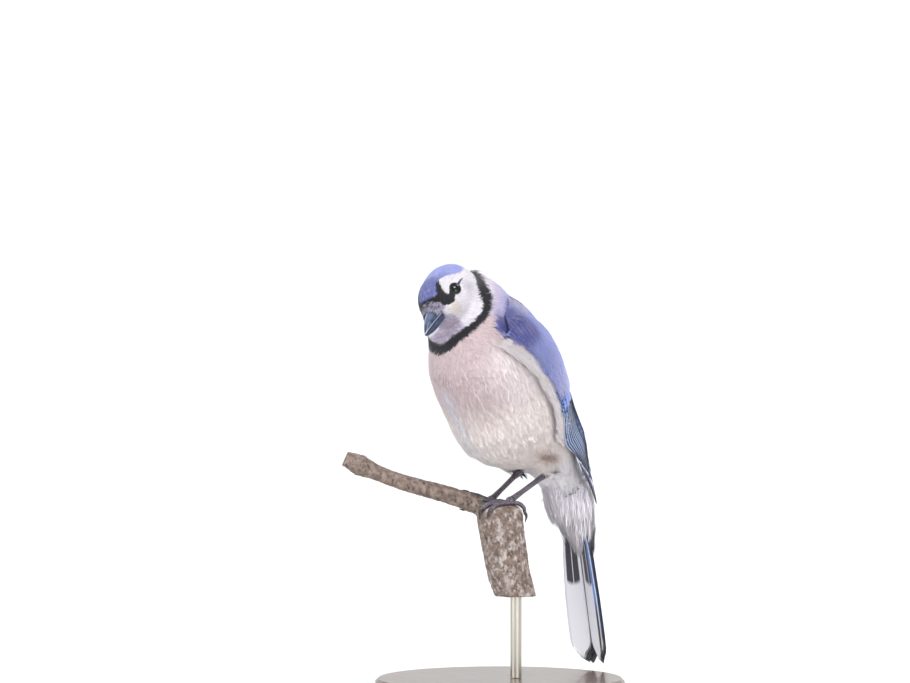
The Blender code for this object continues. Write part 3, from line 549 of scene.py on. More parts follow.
# Outlines on the side of the head: degrees forward and up from its middle, as seen from that side
CROWN_OUTLINE = ((-75, 42), (-45, 28), (-33, 26), (-25, 29), (-16.5, 38.6), (-4.9, 53.6), (6.9, 59.7),
                 (18.6, 59.5), (26, 62), (43.5, 47), (54.5, 33), (60.7, 33.5), (71, 39.5), (86, 44),
                 (130, 60), (130, 150), (-130, 150), (-130, 60))
BRIDLE = ((95, 50), (80, 46), (71, 43), (61, 38), (55.5, 37), (46, 48.5), (31, 60), (25, 62.5),
          (21.5, 58), (35.5, 42.5), (40.5, 30), (40, 21), (35.5, 21.5), (31, 24), (25, 27), (24, 11),
          (30, 6), (36, -1), (41, -2), (47, -1), (54.5, 1.5), (60.5, 3.5), (63, 10), (63, 16),
          (69.7, 22), (80, 25), (95, 26))
NASAL = ((67, 19), (62, 10), (61, 1), (74, -3), (84, 5), (110, 20), (110, 27), (90, 26), (77, 25))
EYE_LINE = ((2, 22.5), (-17, 22), (-17, 18.8), (2, 18))
THROAT = ((54, -24), (44, -46), (32, -62), (24, -80), (40, -150), (130, -80), (110, -8), (72, -10))
GAPE = ((56, -6), (44, -1), (30, -9), (27, -30), (40, -36), (56, -24))


def head_map(local):
    """Degrees forward and up from the middle of the head's own side; both sides are alike."""
    reach = np.maximum(np.linalg.norm(local, axis=1), 1e-6)
    polar = np.degrees(np.arccos(np.clip(np.abs(local[:, 1]) / reach, -1, 1)))
    turn = np.arctan2(local[:, 2], local[:, 0])
    return np.stack((polar * np.cos(turn), polar * np.sin(turn)), axis=1)


def within(spots, outline):
    """How far inside a straight-sided outline each spot lies; negative outside."""
    path = np.array(outline, float)
    nearest = np.full(len(spots), 1e9)
    inside = np.zeros(len(spots), bool)
    x, y = spots.T
    for a, b in zip(path, np.roll(path, -1, axis=0)):
        f = np.clip(((spots - a) @ (b - a)) / ((b - a) @ (b - a)), 0, 1)
        nearest = np.minimum(nearest, np.linalg.norm(spots - a - f[:, None] * (b - a), axis=1))
        if a[1] != b[1]:
            crossing = a[0] + (y - a[1]) / (b[1] - a[1]) * (b[0] - a[0])
            inside ^= ((a[1] > y) != (b[1] > y)) & (x < crossing)
    return np.where(inside, nearest, -nearest)


def band_gap(local, band):
    """Distance in millimetres outside a band whose rows are a place and a half width."""
    best = np.full(len(local), 1e9)
    rows = np.array(band, float)
    for a, b in zip(rows[:-1], rows[1:]):
        along = b[:3] - a[:3]
        f = np.clip(((local - a[:3]) @ along) / (along @ along), 0, 1)
        gap = np.linalg.norm(local - a[:3] - f[:, None] * along, axis=1) - (a[3] + (b[3] - a[3]) * f)
        best = np.minimum(best, gap)
    return best


def snapped(band, tree):
    """The band's places moved onto the skin."""
    out = []
    for f, l, u, half in band:
        hit = tree.find_nearest(Vector(head_place(f * MM, l * MM, u * MM)))[0]
        out.append((*head_local(np.array(hit)[None])[0], half))
    return out


def mix(colour, other, share):
    return colour + (other - colour) * share[:, None]


def patch(x, y, middle, size):
    """Soft round patch: 1 in its middle and less over its size."""
    return np.exp(-((x - middle[0]) / size[0]) ** 2 - ((y - middle[1]) / size[1]) ** 2)


def varied(colour, amount, noise):
    """The colour for every point, lighter and darker by the noise."""
    return np.tile(colour, (len(noise), 1)) * (1 + amount * noise[:, None])


def trunk_tone(t, around, noise, fine):
    """Pinkish grey breast, paler flanks, creamy belly, white under the tail, blue above."""
    turn = np.degrees(np.abs(around))
    tone = varied(BREAST, 0.05, noise)
    tone = mix(tone, FLANK, smooth(152, 112, turn + 5 * noise) * smooth(8.8, 7.2, t))
    tone = mix(tone, BELLY, smooth(6.2, 4.4, t + 0.25 * noise) * smooth(60, 115, turn))
    tone = mix(tone, WHITE, smooth(2.6, 1.0, t + 0.2 * noise))
    cool = np.exp(-(((np.degrees(around) % 360) - 190) / 9) ** 2) * smooth(7.0, 6.2, t) * smooth(2.6, 4.0, t)
    tone = mix(tone, COOL_WHITE, 0.5 * cool)
    thigh = patch(t, turn, (2.55, 128), (0.55, 8.5))
    tone = mix(tone, THIGH * (1 + 0.3 * fine[:, None]), np.clip(1.25 * thigh, 0, 0.9))
    # deep blue at the bend of the wing, partly the feathers' own colour and partly painted shade; pale lilac
    # behind the collar
    above = smooth(3, -3, turn - np.interp(t, *BLUE_EDGE) + 4 * fine)
    tone = mix(tone, BLUE * (1 + 0.08 * noise[:, None]), above)
    bend = smooth(77, 86, turn) * smooth(9.3, 9.05, t) * smooth(7.2, 7.7, t)
    tone = mix(tone, DEEP_BLUE_AND_SHADE, 0.95 * above * bend)
    nape = smooth(8.35, 9.35, t + 0.08 * noise) * smooth(100, 80, turn)
    tone = mix(tone, LILAC, nape)
    return mix(tone, WHITE * (0.98, 0.92, 0.97), smooth(9.2, 9.75, t) * smooth(96, 76, turn))


def head_tone(points, local, spots, noise, fine):
    """White face, lilac grey throat, cream by the gape, blue crown, pale tuft over the nostrils."""
    face = varied(CHEEK, 0.05, fine)
    shaded = patch(*spots.T, (-14, 2), (9, 12))
    face = mix(face, CHEEK * (0.66, 0.68, 0.74), 0.75 * shaded)
    # on the far side the throat's grey lies further back
    turned = spots + np.stack((20.0 * (local[:, 1] < 0), 0 * fine), axis=1)
    throat = smooth(-3, 5, within(turned, THROAT) + 2.5 * fine)
    streak = wobble(points, 1.8 * MM, 7)
    face = mix(face, SMOKE * (1.45 + 0.75 * streak[:, None]), 0.85 * throat)
    face = mix(face, CREAM, 0.6 * smooth(-5, 4, within(spots, GAPE) + 2.5 * streak))
    crown = smooth(-1.2, 1.2, within(spots, CROWN_OUTLINE) + 0.9 * fine)
    shade = smooth(-6, 5, local[:, 0] + 2.0 * noise + 1.5 * fine)
    blue = mix(varied(CROWN, 0.10, fine), FOREHEAD, 0.85 * shade)
    flecks = smooth(0.35, 0.8, wobble(points, 1.7 * MM, 5)) * smooth(0, 8, local[:, 0])
    blue = mix(blue, LILAC * 0.95, 0.6 * flecks)
    face = mix(face, blue, crown)
    tuft = smooth(-1.5, 1.0, within(spots, NASAL) + fine)
    return mix(face, LILAC * (1.0 + 0.55 * wobble(points, 1.5 * MM, 6)[:, None]), tuft)


def plumage(points, t, around, collar):
    """Colour of the coat at each point."""
    local = head_local(points)
    spots = head_map(local)
    noise = wobble(points, 9 * MM, 1)
    fine = wobble(points, 3.2 * MM, 2)
    tone = trunk_tone(t, around, noise, fine)
    reach = np.linalg.norm(local, axis=1)
    on_head = np.maximum(smooth(25.5, 22.5, reach), smooth(28.0, 26.0, reach) * smooth(-8, 2, local[:, 2]))
    tone = mix(tone, head_tone(points, local, spots, noise, fine), on_head)
    # black marks: collar, bridle, line behind the eye and rim of the eye
    tone = mix(tone, BLACK, smooth(0.35, -0.35, band_gap(local, collar) + 0.45 * fine))
    near = smooth(26, 21, reach)
    tone = mix(tone, BLACK, near * smooth(-0.8, 0.8, within(spots, BRIDLE) + 1.0 * fine))
    tone = mix(tone, BLACK, near * smooth(-0.7, 0.5, within(spots, EYE_LINE)))
    mirrored = np.column_stack((local[:, 0], np.abs(local[:, 1]), local[:, 2]))
    eye = np.linalg.norm(mirrored - EYE_MIDDLE, axis=1)
    return mix(tone, BLACK, smooth(3.9, 3.5, eye))


# Coat: thin closed tufts over the skin

def blade(stations):
    """Three-sided tapered blade: stations are (along, half width), the last a point."""
    points = []
    for a, w in stations[:-1]:
        points += [(a, -w, 0.0), (a, 0.0, 1.0), (a, w, 0.0)]
    points.append((stations[-1][0], 0.0, 0.0))
    faces = []
    for k in range(len(stations) - 2):
        for i in range(3):
            a = 3 * k + i
            b = 3 * k + (i + 1) % 3
            faces += [(a, a + 3, b + 3), (a, b + 3, b)]
    last = 3 * (len(stations) - 2)
    for i in range(3):
        faces.append((last + i, last + 3, last + (i + 1) % 3))
    faces.append((0, 1, 2))
    return np.array(points, float), np.array(faces)


VANE = blade(((0.0, 0.22), (0.4, 0.48), (0.8, 0.36), (1.0, 0.0)))
BARB = blade(((0.0, 0.5), (0.6, 0.36), (1.0, 0.0)))


def tufts(body, name, shape, root, along, normal, length, width, rise, curve, curl, thick, tone, shades, uv):
    """One piece of many copies of a blade, each laid over the skin at its root.

    The sizes are one for each copy or one for all. rise is how far the copy stands up, curve bends it
    down again, curl bends it aside, and shades lighten or darken its tone at the root and at the tip.
    """
    points, faces = shape
    count = len(root)
    size = len(points)
    a, c, ridge = (points[:, k][None, :, None] for k in range(3))
    length, width, rise, curve, curl, thick = (np.broadcast_to(value, count)[:, None, None]
                                               for value in (length, width, rise, curve, curl, thick))
    side = unit(np.cross(normal, along))[:, None]
    along = along[:, None]
    normal = normal[:, None]
    lift = rise * np.sin(0.5 * math.pi * np.minimum(1, a / 0.75))
    lift = lift - curve * (a * length) ** 2 / 2
    where = (root[:, None] + along * a * length + side * (c * width + curl * length * a ** 2)
             + normal * (lift + ridge * thick))
    all_faces = (faces[None] + (np.arange(count) * size)[:, None, None]).reshape(-1, 3)
    dark = tone * shades[0]
    light = np.minimum(tone * shades[1], LIGHTEST)
    colour = dark[:, None] + (light - dark)[:, None] * a
    vane = np.empty((count, size, 3))
    vane[:, :, :2] = points[:, :2]
    vane[:, :, 2] = rng.uniform(0, 1, count)[:, None]
    place = uv[:, None] + (points[None, :, :2] - (0.5, 0)) * PATCH
    # light falls on the tuft as on the soft surface it is part of
    facing = normal + side * c * TURN_OF_BARB + along * a * length * curve
    piece = make_mesh(name, where.reshape(-1, 3), all_faces, {"tone": colour, "vane": vane},
                      place.reshape(-1, 2), unit(facing).reshape(-1, 3))
    finish(piece, body["material"], "plumage")


def scatter(co, quads, spacing, keep, seed):
    """Evenly spread points on the skin where keep says so."""
    draw = np.random.default_rng(seed)
    tri = np.vstack((quads[:, [0, 1, 2]], quads[:, [0, 2, 3]]))
    centre = co[tri].mean(axis=1)
    tri = tri[keep(centre)]
    a, b, c = (co[tri[:, k]] for k in range(3))
    cross = np.cross(b - a, c - a)
    area = 0.5 * np.linalg.norm(cross, axis=1)
    wanted = int(area.sum() / spacing ** 2 * 2.6)
    pick = draw.choice(len(tri), wanted, p=area / area.sum())
    u = draw.uniform(size=(wanted, 2))
    flip = u.sum(axis=1) > 1
    u[flip] = 1 - u[flip]
    spots = a[pick] + u[:, :1] * (b - a)[pick] + u[:, 1:] * (c - a)[pick]
    scaled = spots / spacing
    cells = np.floor(scaled).astype(int).tolist()
    taken = {}
    kept = []
    near = [(i, j, k) for i in (-1, 0, 1) for j in (-1, 0, 1) for k in (-1, 0, 1)]
    for n, ((x, y, z), (px, py, pz)) in enumerate(zip(cells, scaled.tolist())):
        close = any((px - qx) ** 2 + (py - qy) ** 2 + (pz - qz) ** 2 < 0.6
                    for i, j, k in near for qx, qy, qz in taken.get((x + i, y + j, z + k), ()))
        if not close:
            taken.setdefault((x, y, z), []).append((px, py, pz))
            kept.append(n)
    return spots[np.array(kept)]


class Surface:
    """A material, with short names for the nodes that colour it."""

    def __init__(self, name, roughness, sheen=0.0, coat=0.0):
        self.material = bpy.data.materials.new(name)
        self.material.use_nodes = True
        self.tree = self.material.node_tree
        self.inputs = self.tree.nodes["Principled BSDF"].inputs
        for key, value in (("Roughness", roughness), ("Sheen Weight", sheen), ("Coat Weight", coat)):
            self.inputs[key].default_value = value

    def node(self, kind, inputs, output=0, **settings):
        """Output of a new node; an input takes a node's output, a colour or a number."""
        made = self.tree.nodes.new("ShaderNode" + kind)
        for key, value in settings.items():
            setattr(made, key, value)
        for key, value in inputs.items():
            if isinstance(value, bpy.types.NodeSocket):
                self.tree.links.new(value, made.inputs[key])
            else:
                colour = made.inputs[key].type == 'RGBA'
                made.inputs[key].default_value = (*value, 1) if colour else value
        return made.outputs[output]

    def link(self, key, value):
        self.tree.links.new(value, self.inputs[key])

    def math(self, operation, *values):
        return self.node("Math", dict(enumerate(values)), operation=operation)

    def times(self, a, b):
        return self.math('MULTIPLY', a, b)

    def size(self, value):
        return self.math('ABSOLUTE', value)

    def mix(self, share, a, b):
        return self.node("Mix", {"Factor": share, 6: a, 7: b}, 2, data_type='RGBA')

    def ramp(self, value, low, high):
        """0 before low, 1 past high, straight between; low may be above high."""
        ends = (0.0, 1.0) if low < high else (1.0, 0.0)
        return self.node("MapRange", {"Value": value, "From Min": min(low, high), "From Max": max(low, high),
                                      "To Min": ends[0], "To Max": ends[1]})

    def noise(self, scale, detail=3.0, vector=None):
        vector = vector or self.node("TexCoord", {}, "Object")
        return self.node("TexNoise", {"Scale": scale, "Detail": detail, "Vector": vector}, "Fac")

    def attribute(self, name, output="Vector"):
        return self.node("Attribute", {}, output, attribute_name=name)

    def parts(self, name):
        """The three values of a point attribute."""
        return self.node("SeparateXYZ", {0: self.attribute(name)}).node.outputs

    def bump(self, height, distance, strength=1.0):
        inputs = {"Distance": distance, "Strength": strength, "Height": height}
        self.link("Normal", self.node("Bump", inputs, "Normal"))


def coat_material():
    """Soft feather: its own colour, darker at the root, with fine barbs."""
    coat = Surface("coat", 0.8, sheen=0.25)
    along, across, each = coat.parts("vane")
    speckle = coat.times(coat.noise(420.0, 2.0), 0.10)
    value = coat.math('ADD', coat.math('MULTIPLY_ADD', each, 0.11, 0.90), speckle)
    root = coat.math('MINIMUM', coat.math('MULTIPLY_ADD', along, 0.12, 0.92), 1.0)
    tone = {0: coat.attribute("tone", "Color"), "Scale": coat.times(value, root)}
    coat.link("Base Color", coat.node("VectorMath", tone, operation='SCALE'))
    coat.bump(coat.math('SINE', coat.times(across, 60.0)), 0.00004, 0.5)
    return coat.material


# Building the skin and its coat

def build_body():
    """The skin, and what the coat needs to grow on it."""
    co, quads = make_skin()
    surface = BVHTree.FromPolygons([tuple(p) for p in co], [tuple(q) for q in quads])
    lookup = trunk_lookup()
    collar = snapped(COLLAR, surface)
    tone = plumage(co, *trunk_coords(co, lookup), collar)
    material = coat_material()
    skin = make_mesh("skin", co, quads, {"tone": tone * 0.9, "vane": np.tile((0, 0, 0.5), (len(co), 1))})
    finish(skin, material, "plumage", "torso", "neck", "head", "thigh_left", "thigh_right")
    return {"co": co, "quads": quads, "normals": vertex_normals(co, quads), "lookup": lookup,
            "corners": point_tree(co), "collar": collar, "material": material}


def tone_at(points, body):
    return plumage(points, *trunk_coords(points, body["lookup"]), body["collar"])


def skin_uv(points, t, around):
    """Unwrap of the skin: the trunk as a band by station and turn, the head as another."""
    local = head_local(points)
    polar = np.arctan2(np.hypot(local[:, 1], local[:, 2]), local[:, 0])
    roll = np.arctan2(local[:, 1], local[:, 2])
    trunk = np.stack((around / (2 * math.pi) + 0.5, t / (len(TRUNK) - 1)), axis=1)
    head = np.stack((roll / (2 * math.pi) + 0.5, polar / math.pi), axis=1)
    on_head = np.linalg.norm(local, axis=1) < 24
    return np.where(on_head[:, None], (0.02, 0.62) + head * (0.96, 0.36), (0.02, 0.02) + trunk * (0.96, 0.56))


# How far the regions of the coat reach from the face's middle, in the head's own millimetres
FACE_MIDDLE = (15.0, 0, 0)
FACE_REACH = 16
HEAD_REACH = 30
NECK_REACH = 46
EYE_REACH = 3.7
BILL_ROOT = 15.6
BILL_REACH = 6
# Part of the trunk that the folded wing hides: degrees from the back, and stations
HIDDEN_TURNS = (34, 72)
HIDDEN_STATIONS = (2.6, 7.6)


def inside(values, span):
    return (values > span[0]) & (values < span[1])


def region_masks(lookup):
    """Whether a point lies in each region of the coat."""
    def bare(points):
        local = head_local(points)
        left, right = (np.linalg.norm(local * (1, side, 1) - EYE_MIDDLE, axis=1) for side in (1, -1))
        bill = (local[:, 0] > BILL_ROOT) & (np.hypot(local[:, 1], local[:, 2]) < BILL_REACH)
        return (np.minimum(left, right) <= EYE_REACH) | bill

    def between(points, near, far):
        reach = np.linalg.norm(head_local(points) - FACE_MIDDLE, axis=1)
        return (reach >= near) & (reach < far)

    def under_wing(points):
        t, around = trunk_coords(points, lookup)
        return inside(np.degrees(np.abs(around)), HIDDEN_TURNS) & inside(t, HIDDEN_STATIONS)

    return {
        "face": lambda p: between(p, 0, FACE_REACH) & ~bare(p),
        "head": lambda p: between(p, FACE_REACH, HEAD_REACH) & ~bare(p),
        "neck": lambda p: between(p, HEAD_REACH, NECK_REACH),
        "body": lambda p: between(p, NECK_REACH, math.inf) & (p[:, 2] > VENT_LEVEL) & ~under_wing(p),
        "vent": lambda p: between(p, NECK_REACH, math.inf) & (p[:, 2] <= VENT_LEVEL),
    }


# region: spacing, length, half-width share, rise, tufts of barbs at each root, barb width
COAT = {
    "face": (0.72, 2.0, 0.30, 0.26, 4, 0.11),
    "head": (0.95, 3.0, 0.26, 0.32, 5, 0.12),
    "neck": (1.25, 4.2, 0.20, 0.42, 7, 0.13),
    "body": (1.65, 8.5, 0.12, 0.70, 9, 0.15),
    "vent": (1.45, 10.0, 0.12, 0.80, 8, 0.17),
}


def grow(body, name, spots, spacing, length, half, rise, barbs, barb_width, seed):
    """Vanes and barbs over one region, in pieces that stay small enough."""
    draw = np.random.default_rng(seed)
    count = len(spots)
    near = np.array([body["corners"].find(p)[1] for p in spots])
    normals = body["normals"][near]
    t, around = trunk_coords(spots, body["lookup"])
    flow = coat_flow(spots, t)
    flow = unit(flow - normals * (flow * normals).sum(axis=1, keepdims=True))
    side = np.cross(normals, flow)
    lengths = length * MM * draw.uniform(0.8, 1.2, count)
    uv = skin_uv(spots, t, around)

    def layer(kind, shape, repeat, spread, fan, width, thick, scale, lift, shade):
        total = count * repeat
        pick = np.repeat(np.arange(count), repeat)
        turn = draw.normal(0, fan, total)
        along = unit(flow[pick] * np.cos(turn)[:, None] + side[pick] * np.sin(turn)[:, None])
        root = spots[pick] + (side[pick] * draw.normal(0, spread, total)[:, None]
                              + flow[pick] * draw.normal(0, 1.4 * spread, total)[:, None]) * spacing * MM
        long = lengths[pick] * scale * draw.uniform(0.75, 1.15, total)
        wide = width * MM * draw.uniform(0.8, 1.2, total)
        up = lift * MM * draw.uniform(0.65, 1.1, total)
        curl = draw.normal(0, 0.12, total)
        tone = tone_at(root + along * long[:, None] * 0.5, body)
        tone = tone * draw.uniform(0.92, 1.08, total)[:, None] * shade
        most = MOST_TRIANGLES // len(shape[1])
        for k, start in enumerate(range(0, total, most)):
            part = slice(start, start + most)
            tufts(body, f"{name}_{kind}_{k + 1}", shape, root[part], along[part], normals[pick][part],
                  long[part], wide[part], up[part], 1 / COAT_BEND, curl[part], thick * MM, tone[part],
                  COAT_SHADES, uv[pick][part])

    layer("vane", VANE, 1, 0.1, 0.12, length * half, 0.07, 0.9, 0.7 * rise, 1.0)
    layer("barb", BARB, barbs, 0.45, 0.26, barb_width, 0.06, 1.05, rise * 1.12, 1.03)


def build_coat(body):
    masks = region_masks(body["lookup"])
    for k, (region, (spacing, *shape)) in enumerate(COAT.items()):
        spots = scatter(body["co"], body["quads"], spacing * MM, masks[region], 40 + k)
        grow(body, "coat_" + region, spots, spacing, *shape, 60 + k)


# Wings and tail: overlapping vanes, finer than the solids'

# Edges of the folded wing, in millimetres: places back from the shoulder, and how far up the flank there.
# The solid's lower edge lies below the one that is seen.
SOLID_EDGE = ((-10, 0, 8, 35, 65, 95, 123),
              (-8, -11, -11, -6, -3, -1, 0))
LOWER_EDGE = ((-10, -4, 0, 2, 10, 18, 30, 42, 54, 60, 66, 72, 80, 88, 98, 110, 123),
              (-6.5, -6.5, -5.5, -5, -3.5, -2.5, 0, 2.5, 3, 1, -1.5, -4, -5.6, -5.6, -4.5, -2.6, -0.5))
FRONT_EDGE = ((-13, -4),
              (3, -6.5))


def edge_at(edge, a):
    return np.interp(a / MM, *edge) * MM


def lower_edge(a):
    """Lower edge of the folded wing as seen, above the flank's wisps."""
    return edge_at(LOWER_EDGE, a)


def arm_top(a):
    """Upper edge of the folded arm."""
    f = np.clip((a - CORE_START) / (CORE_END - CORE_START), 0, 1)
    return edge_at(SOLID_EDGE, a) + (10.5 + 29 * np.sin(math.pi * (0.06 + 0.78 * f))) * MM


def core_height(a, b):
    """Height of the folded arm over the hull at a place on the wing."""
    f = np.clip((a - CORE_START) / (CORE_END - CORE_START), 0, 1)
    low = lower_edge(a) + 1.5 * MM
    high = arm_top(a)
    crown = 3.4 * np.sin(math.pi * (0.06 + 0.86 * f)) ** 0.6
    across = np.clip((b - low) / (high - low), 0, 1)
    inside = (a <= CORE_END + 2 * MM) & (across > 0) & (across < 1)
    height = 0.5 + crown * np.sin(math.pi * (0.06 + 0.88 * across)) ** 0.5
    return np.where(inside, height, 0.5) * MM


def feather(place, a1, centre, half, outer, inner, kind, shape, seed, columns=7, cup=0.25, wave=0.0,
            rounding=0.10):
    """One vane as a closed thin sheet; centre, half, outer and inner are its values at the places a1."""
    thick = 0.16 * MM
    u = np.linspace(0, 1, len(a1))
    v = np.linspace(-1, 1, columns)
    uu, vv = np.meshgrid(u, v, indexing="ij")
    reach = a1[-1] - a1[0]
    # the tip is rounded: the outer barbs end before the shaft does
    a = a1[:, None] - reach * rounding * vv ** 2 * smooth(0.6, 1.0, uu)
    b = centre[:, None] + vv * (half * np.interp(u, *shape))[:, None]
    level = (outer[:, None] * (1 - vv) + inner[:, None] * (1 + vv)) / 2
    ridge = 0.10 * MM * np.exp(-(vv / 0.10) ** 2)
    ripple = wave * MM * np.sin(9 * uu + 4 * vv + seed * 20) * vv ** 2
    dome = cup * MM * (1 - vv ** 2)
    rim = np.ones_like(vv)
    rim[:, 0] = rim[:, -1] = rim[-1] = 0.4
    top = place(a, b, level + dome + ridge + ripple)
    low = place(a, b, level + dome + ripple - thick * rim)
    vane = np.stack((uu.ravel(), vv.ravel(), np.full(uu.size, seed)), axis=1)
    code = np.full((2, uu.size, 3), kind, float)
    code[0, :, 1] = 1.0
    code[1, :, 1] = 0.0
    return np.vstack((top, low)), np.vstack((vane, vane)), code.reshape(-1, 3), uu.shape


def join_feathers(name, feathers, mirror=False):
    """All the feathers in one piece, each with a strip of its own on the map."""
    side = math.ceil(math.sqrt(len(feathers)))
    faces = []
    uvs = []
    start = 0
    for k, (where, vane, _, (rows, columns)) in enumerate(feathers):
        faces.append(shell_faces(rows, columns) + start)
        start += len(where)
        # the underside lies beside the top
        strip = np.stack((0.46 * (vane[:, 1] * 0.48 + 0.5), 0.94 * vane[:, 0] + 0.03), axis=1)
        strip[len(vane) // 2:, 0] += 0.5
        uvs.append((strip + (k % side, k // side)) / side)
    points, vanes, codes = (np.vstack([row[k] for row in feathers]) for k in range(3))
    faces = np.vstack(faces)
    if mirror:
        points = points * (-1, 1, 1)
        faces = faces[:, ::-1]
    return make_mesh(name, points, faces, {"vane": vanes, "code": codes}, np.vstack(uvs))


# Outlines of a vane: places along it, and the share of its half width there
LONG = ((0.0, 0.1, 0.3, 0.75, 0.92, 0.98, 1.0), (0.35, 0.7, 0.95, 1.0, 0.82, 0.5, 0.16))
TAIL_SHAPE = ((0.0, 0.1, 0.3, 0.8, 0.93, 0.98, 1.0), (0.35, 0.7, 0.95, 1.0, 0.95, 0.76, 0.35))
ROUND = ((0.0, 0.2, 0.5, 0.8, 0.93, 1.0), (0.4, 0.8, 1.0, 0.9, 0.6, 0.22))

# Codes that the materials read: the kind of wing feather, or the pair of tail feathers from the middle
KINDS = [0.05 + 0.1 * k for k in range(8)]
PRIMARY, SECONDARY, TERTIAL, GREATER, PRIMARY_COVERT, MEDIAN, LESSER, SCAPULAR = KINDS
SAME_KIND = 0.045


# Flight feathers from the edge up: kind, count, step and width in millimetres, place of the roots
FLIGHT = ((PRIMARY, 9, 1.75, 6.6, 38), (SECONDARY, 8, 1.95, 8.4, 38), (TERTIAL, 4, 4.0, 12.0, 30))
FLIGHT_TIPS = (*np.linspace(107, 122.5, 6), 122, 119, 115, *np.linspace(111, 93, 8), 91, 88, 82, 73)


def line(start, end, rows):
    """Even steps from start to end."""
    return start + (end - start) * np.linspace(0, 1, rows)


def flight_feathers(draw):
    feathers = []
    edge = 0.0
    tips = iter(FLIGHT_TIPS)
    for kind, count, step, width, start in FLIGHT:
        root = start * MM
        base = 1.05 * MM + min(0.5 * MM * width / step, 2.4 * MM)
        for _ in range(count):
            a = line(root, (next(tips) + draw.uniform(-0.6, 0.6)) * MM, 26)
            closing = 1.0 - 0.55 * np.clip((a / MM - 60) / 63, 0, None) ** 1.2
            centre = lower_edge(a) + (edge * closing + width / 2 * closing + 0.4) * MM
            half = width / 2 * (0.6 + 0.4 * closing) * MM
            covered = smooth(root + 16 * MM, root, a)
            outer = base + (1.9 * MM - base) * covered
            inner = 1.0 * MM + 0.5 * MM * covered
            feathers.append(feather(wing_place, a, centre, half, outer, inner, kind, LONG, draw.uniform(),
                                    columns=9, wave=0.10))
            edge += step
    return feathers


def covert_row(draw, count, start, end, length, width, lift, lowest, highest, kind, rows=10, tilt=0.8):
    """One tier of coverts over the folded arm, each overlapping the one below it."""
    pieces = []
    for f in np.arange(count) / max(1, count - 1):
        root = (start + (end - start) * f + draw.uniform(-0.5, 0.5)) * MM
        reach = length * (1 + draw.uniform(-0.07, 0.07)) * MM
        middle = (lowest + (highest - lowest) * f + draw.uniform(-0.25, 0.25)) * MM
        a = line(root, root + reach, rows)
        centre = lower_edge(a) + middle
        u = (a - root) / reach
        rise = lift * (0.35 + 0.65 * np.sin(0.5 * math.pi * np.minimum(u / 0.6, 1)))
        rise = rise - 1.6 * (1 - smooth(0, 0.3, u))
        level = core_height(np.minimum(a, root + reach * 0.85), centre) + rise * MM
        half = np.full(rows, width / 2 * MM)
        pieces.append(feather(wing_place, a, centre, half, level + tilt * MM, level, kind, ROUND,
                              draw.uniform(), cup=0.35))
    return pieces


# Tiers of small coverts: place of the roots, length, lowest and highest place
LESSER_TIERS = ((24, 13, 1.5, 31), (19, 12, 1.0, 31), (14, 12, 0.8, 30), (9, 11.5, 0.8, 28), (4, 11, 0.8, 25),
                (-0.5, 10.5, 1.0, 22))
# Tiers of scapulars: place of the lowest and the highest root, length, lowest and highest place
SCAPULAR_TIERS = ((30, 17, 30, 31, 47), (21, 9, 26, 29, 46), (12, 2, 22, 27, 44), (4, -5, 18, 23, 41))


def wing_feathers():
    """The folded wing: flight feathers, then each tier of coverts toward the shoulder."""
    draw = np.random.default_rng(11)
    feathers = flight_feathers(draw)
    feathers += covert_row(draw, 10, 46, 36, 27, 6.0, 0.9, 4.5, 32, GREATER, rows=16)
    feathers += covert_row(draw, 6, 42, 37, 22, 3.6, 0.8, 1.6, 5.5, PRIMARY_COVERT, rows=14)
    feathers += covert_row(draw, 10, 30, 23, 17, 5.4, 1.1, 3.0, 31, MEDIAN, rows=12)
    for start, length, low, high in LESSER_TIERS:
        count = int((high - low) / 2.9)
        feathers += covert_row(draw, count, start, start - 3, length, 4.8, 0.8, low, high, LESSER, rows=8,
                               tilt=0.4)
    for start, end, length, low, high in SCAPULAR_TIERS:
        feathers += covert_row(draw, 7, start, end, length, 7.4, 1.1, low, high, SCAPULAR, rows=12)
    return feathers


def wing_core():
    """The folded arm under the coverts: points, faces and the values for its material."""
    rows = 26
    columns = 20
    a, f = np.meshgrid(np.linspace(-3 * MM, CORE_END, rows), np.linspace(0, 1, columns), indexing="ij")
    low = lower_edge(a) + 1.5 * MM
    b = low + (arm_top(a) - low) * (0.001 + 0.998 * f)
    points = np.vstack((wing_place(a, b, core_height(a, b) - 0.2 * MM), wing_place(a, b, -1.4 * MM)))
    vane = np.tile((0.2, 0.5, 0.5), (len(points), 1))
    code = np.tile((LESSER, 1.0, 0.0), (len(points), 1))
    return points, shell_faces(rows, columns), {"vane": vane, "code": code}


# Materials of the wing: s is the surface that the nodes are made in

def bars(s, along, count, wander, each):
    """Wave along a feather for its dark bars, wavering a little."""
    where = s.math('ADD', s.times(along, count), s.times(each, 7.0))
    where = s.math('ADD', where, s.times(s.noise(260.0, 1.0), wander))
    return s.math('SINE', s.times(where, 2 * math.pi))


def is_kind(s, code, kind):
    return s.math('LESS_THAN', s.size(s.math('SUBTRACT', code, kind)), SAME_KIND)


def feather_surface(name):
    """Start of a flight feather's material: its place along and across, its kind and side."""
    s = Surface(name, 0.55, sheen=0.15)
    vane = s.parts("vane")
    barbs = s.math('ADD', s.times(vane[0], 150.0), s.times(s.size(vane[1]), -14.0))
    s.bump(s.math('SINE', barbs), 0.00003, 0.6)
    return s, vane, s.parts("code")


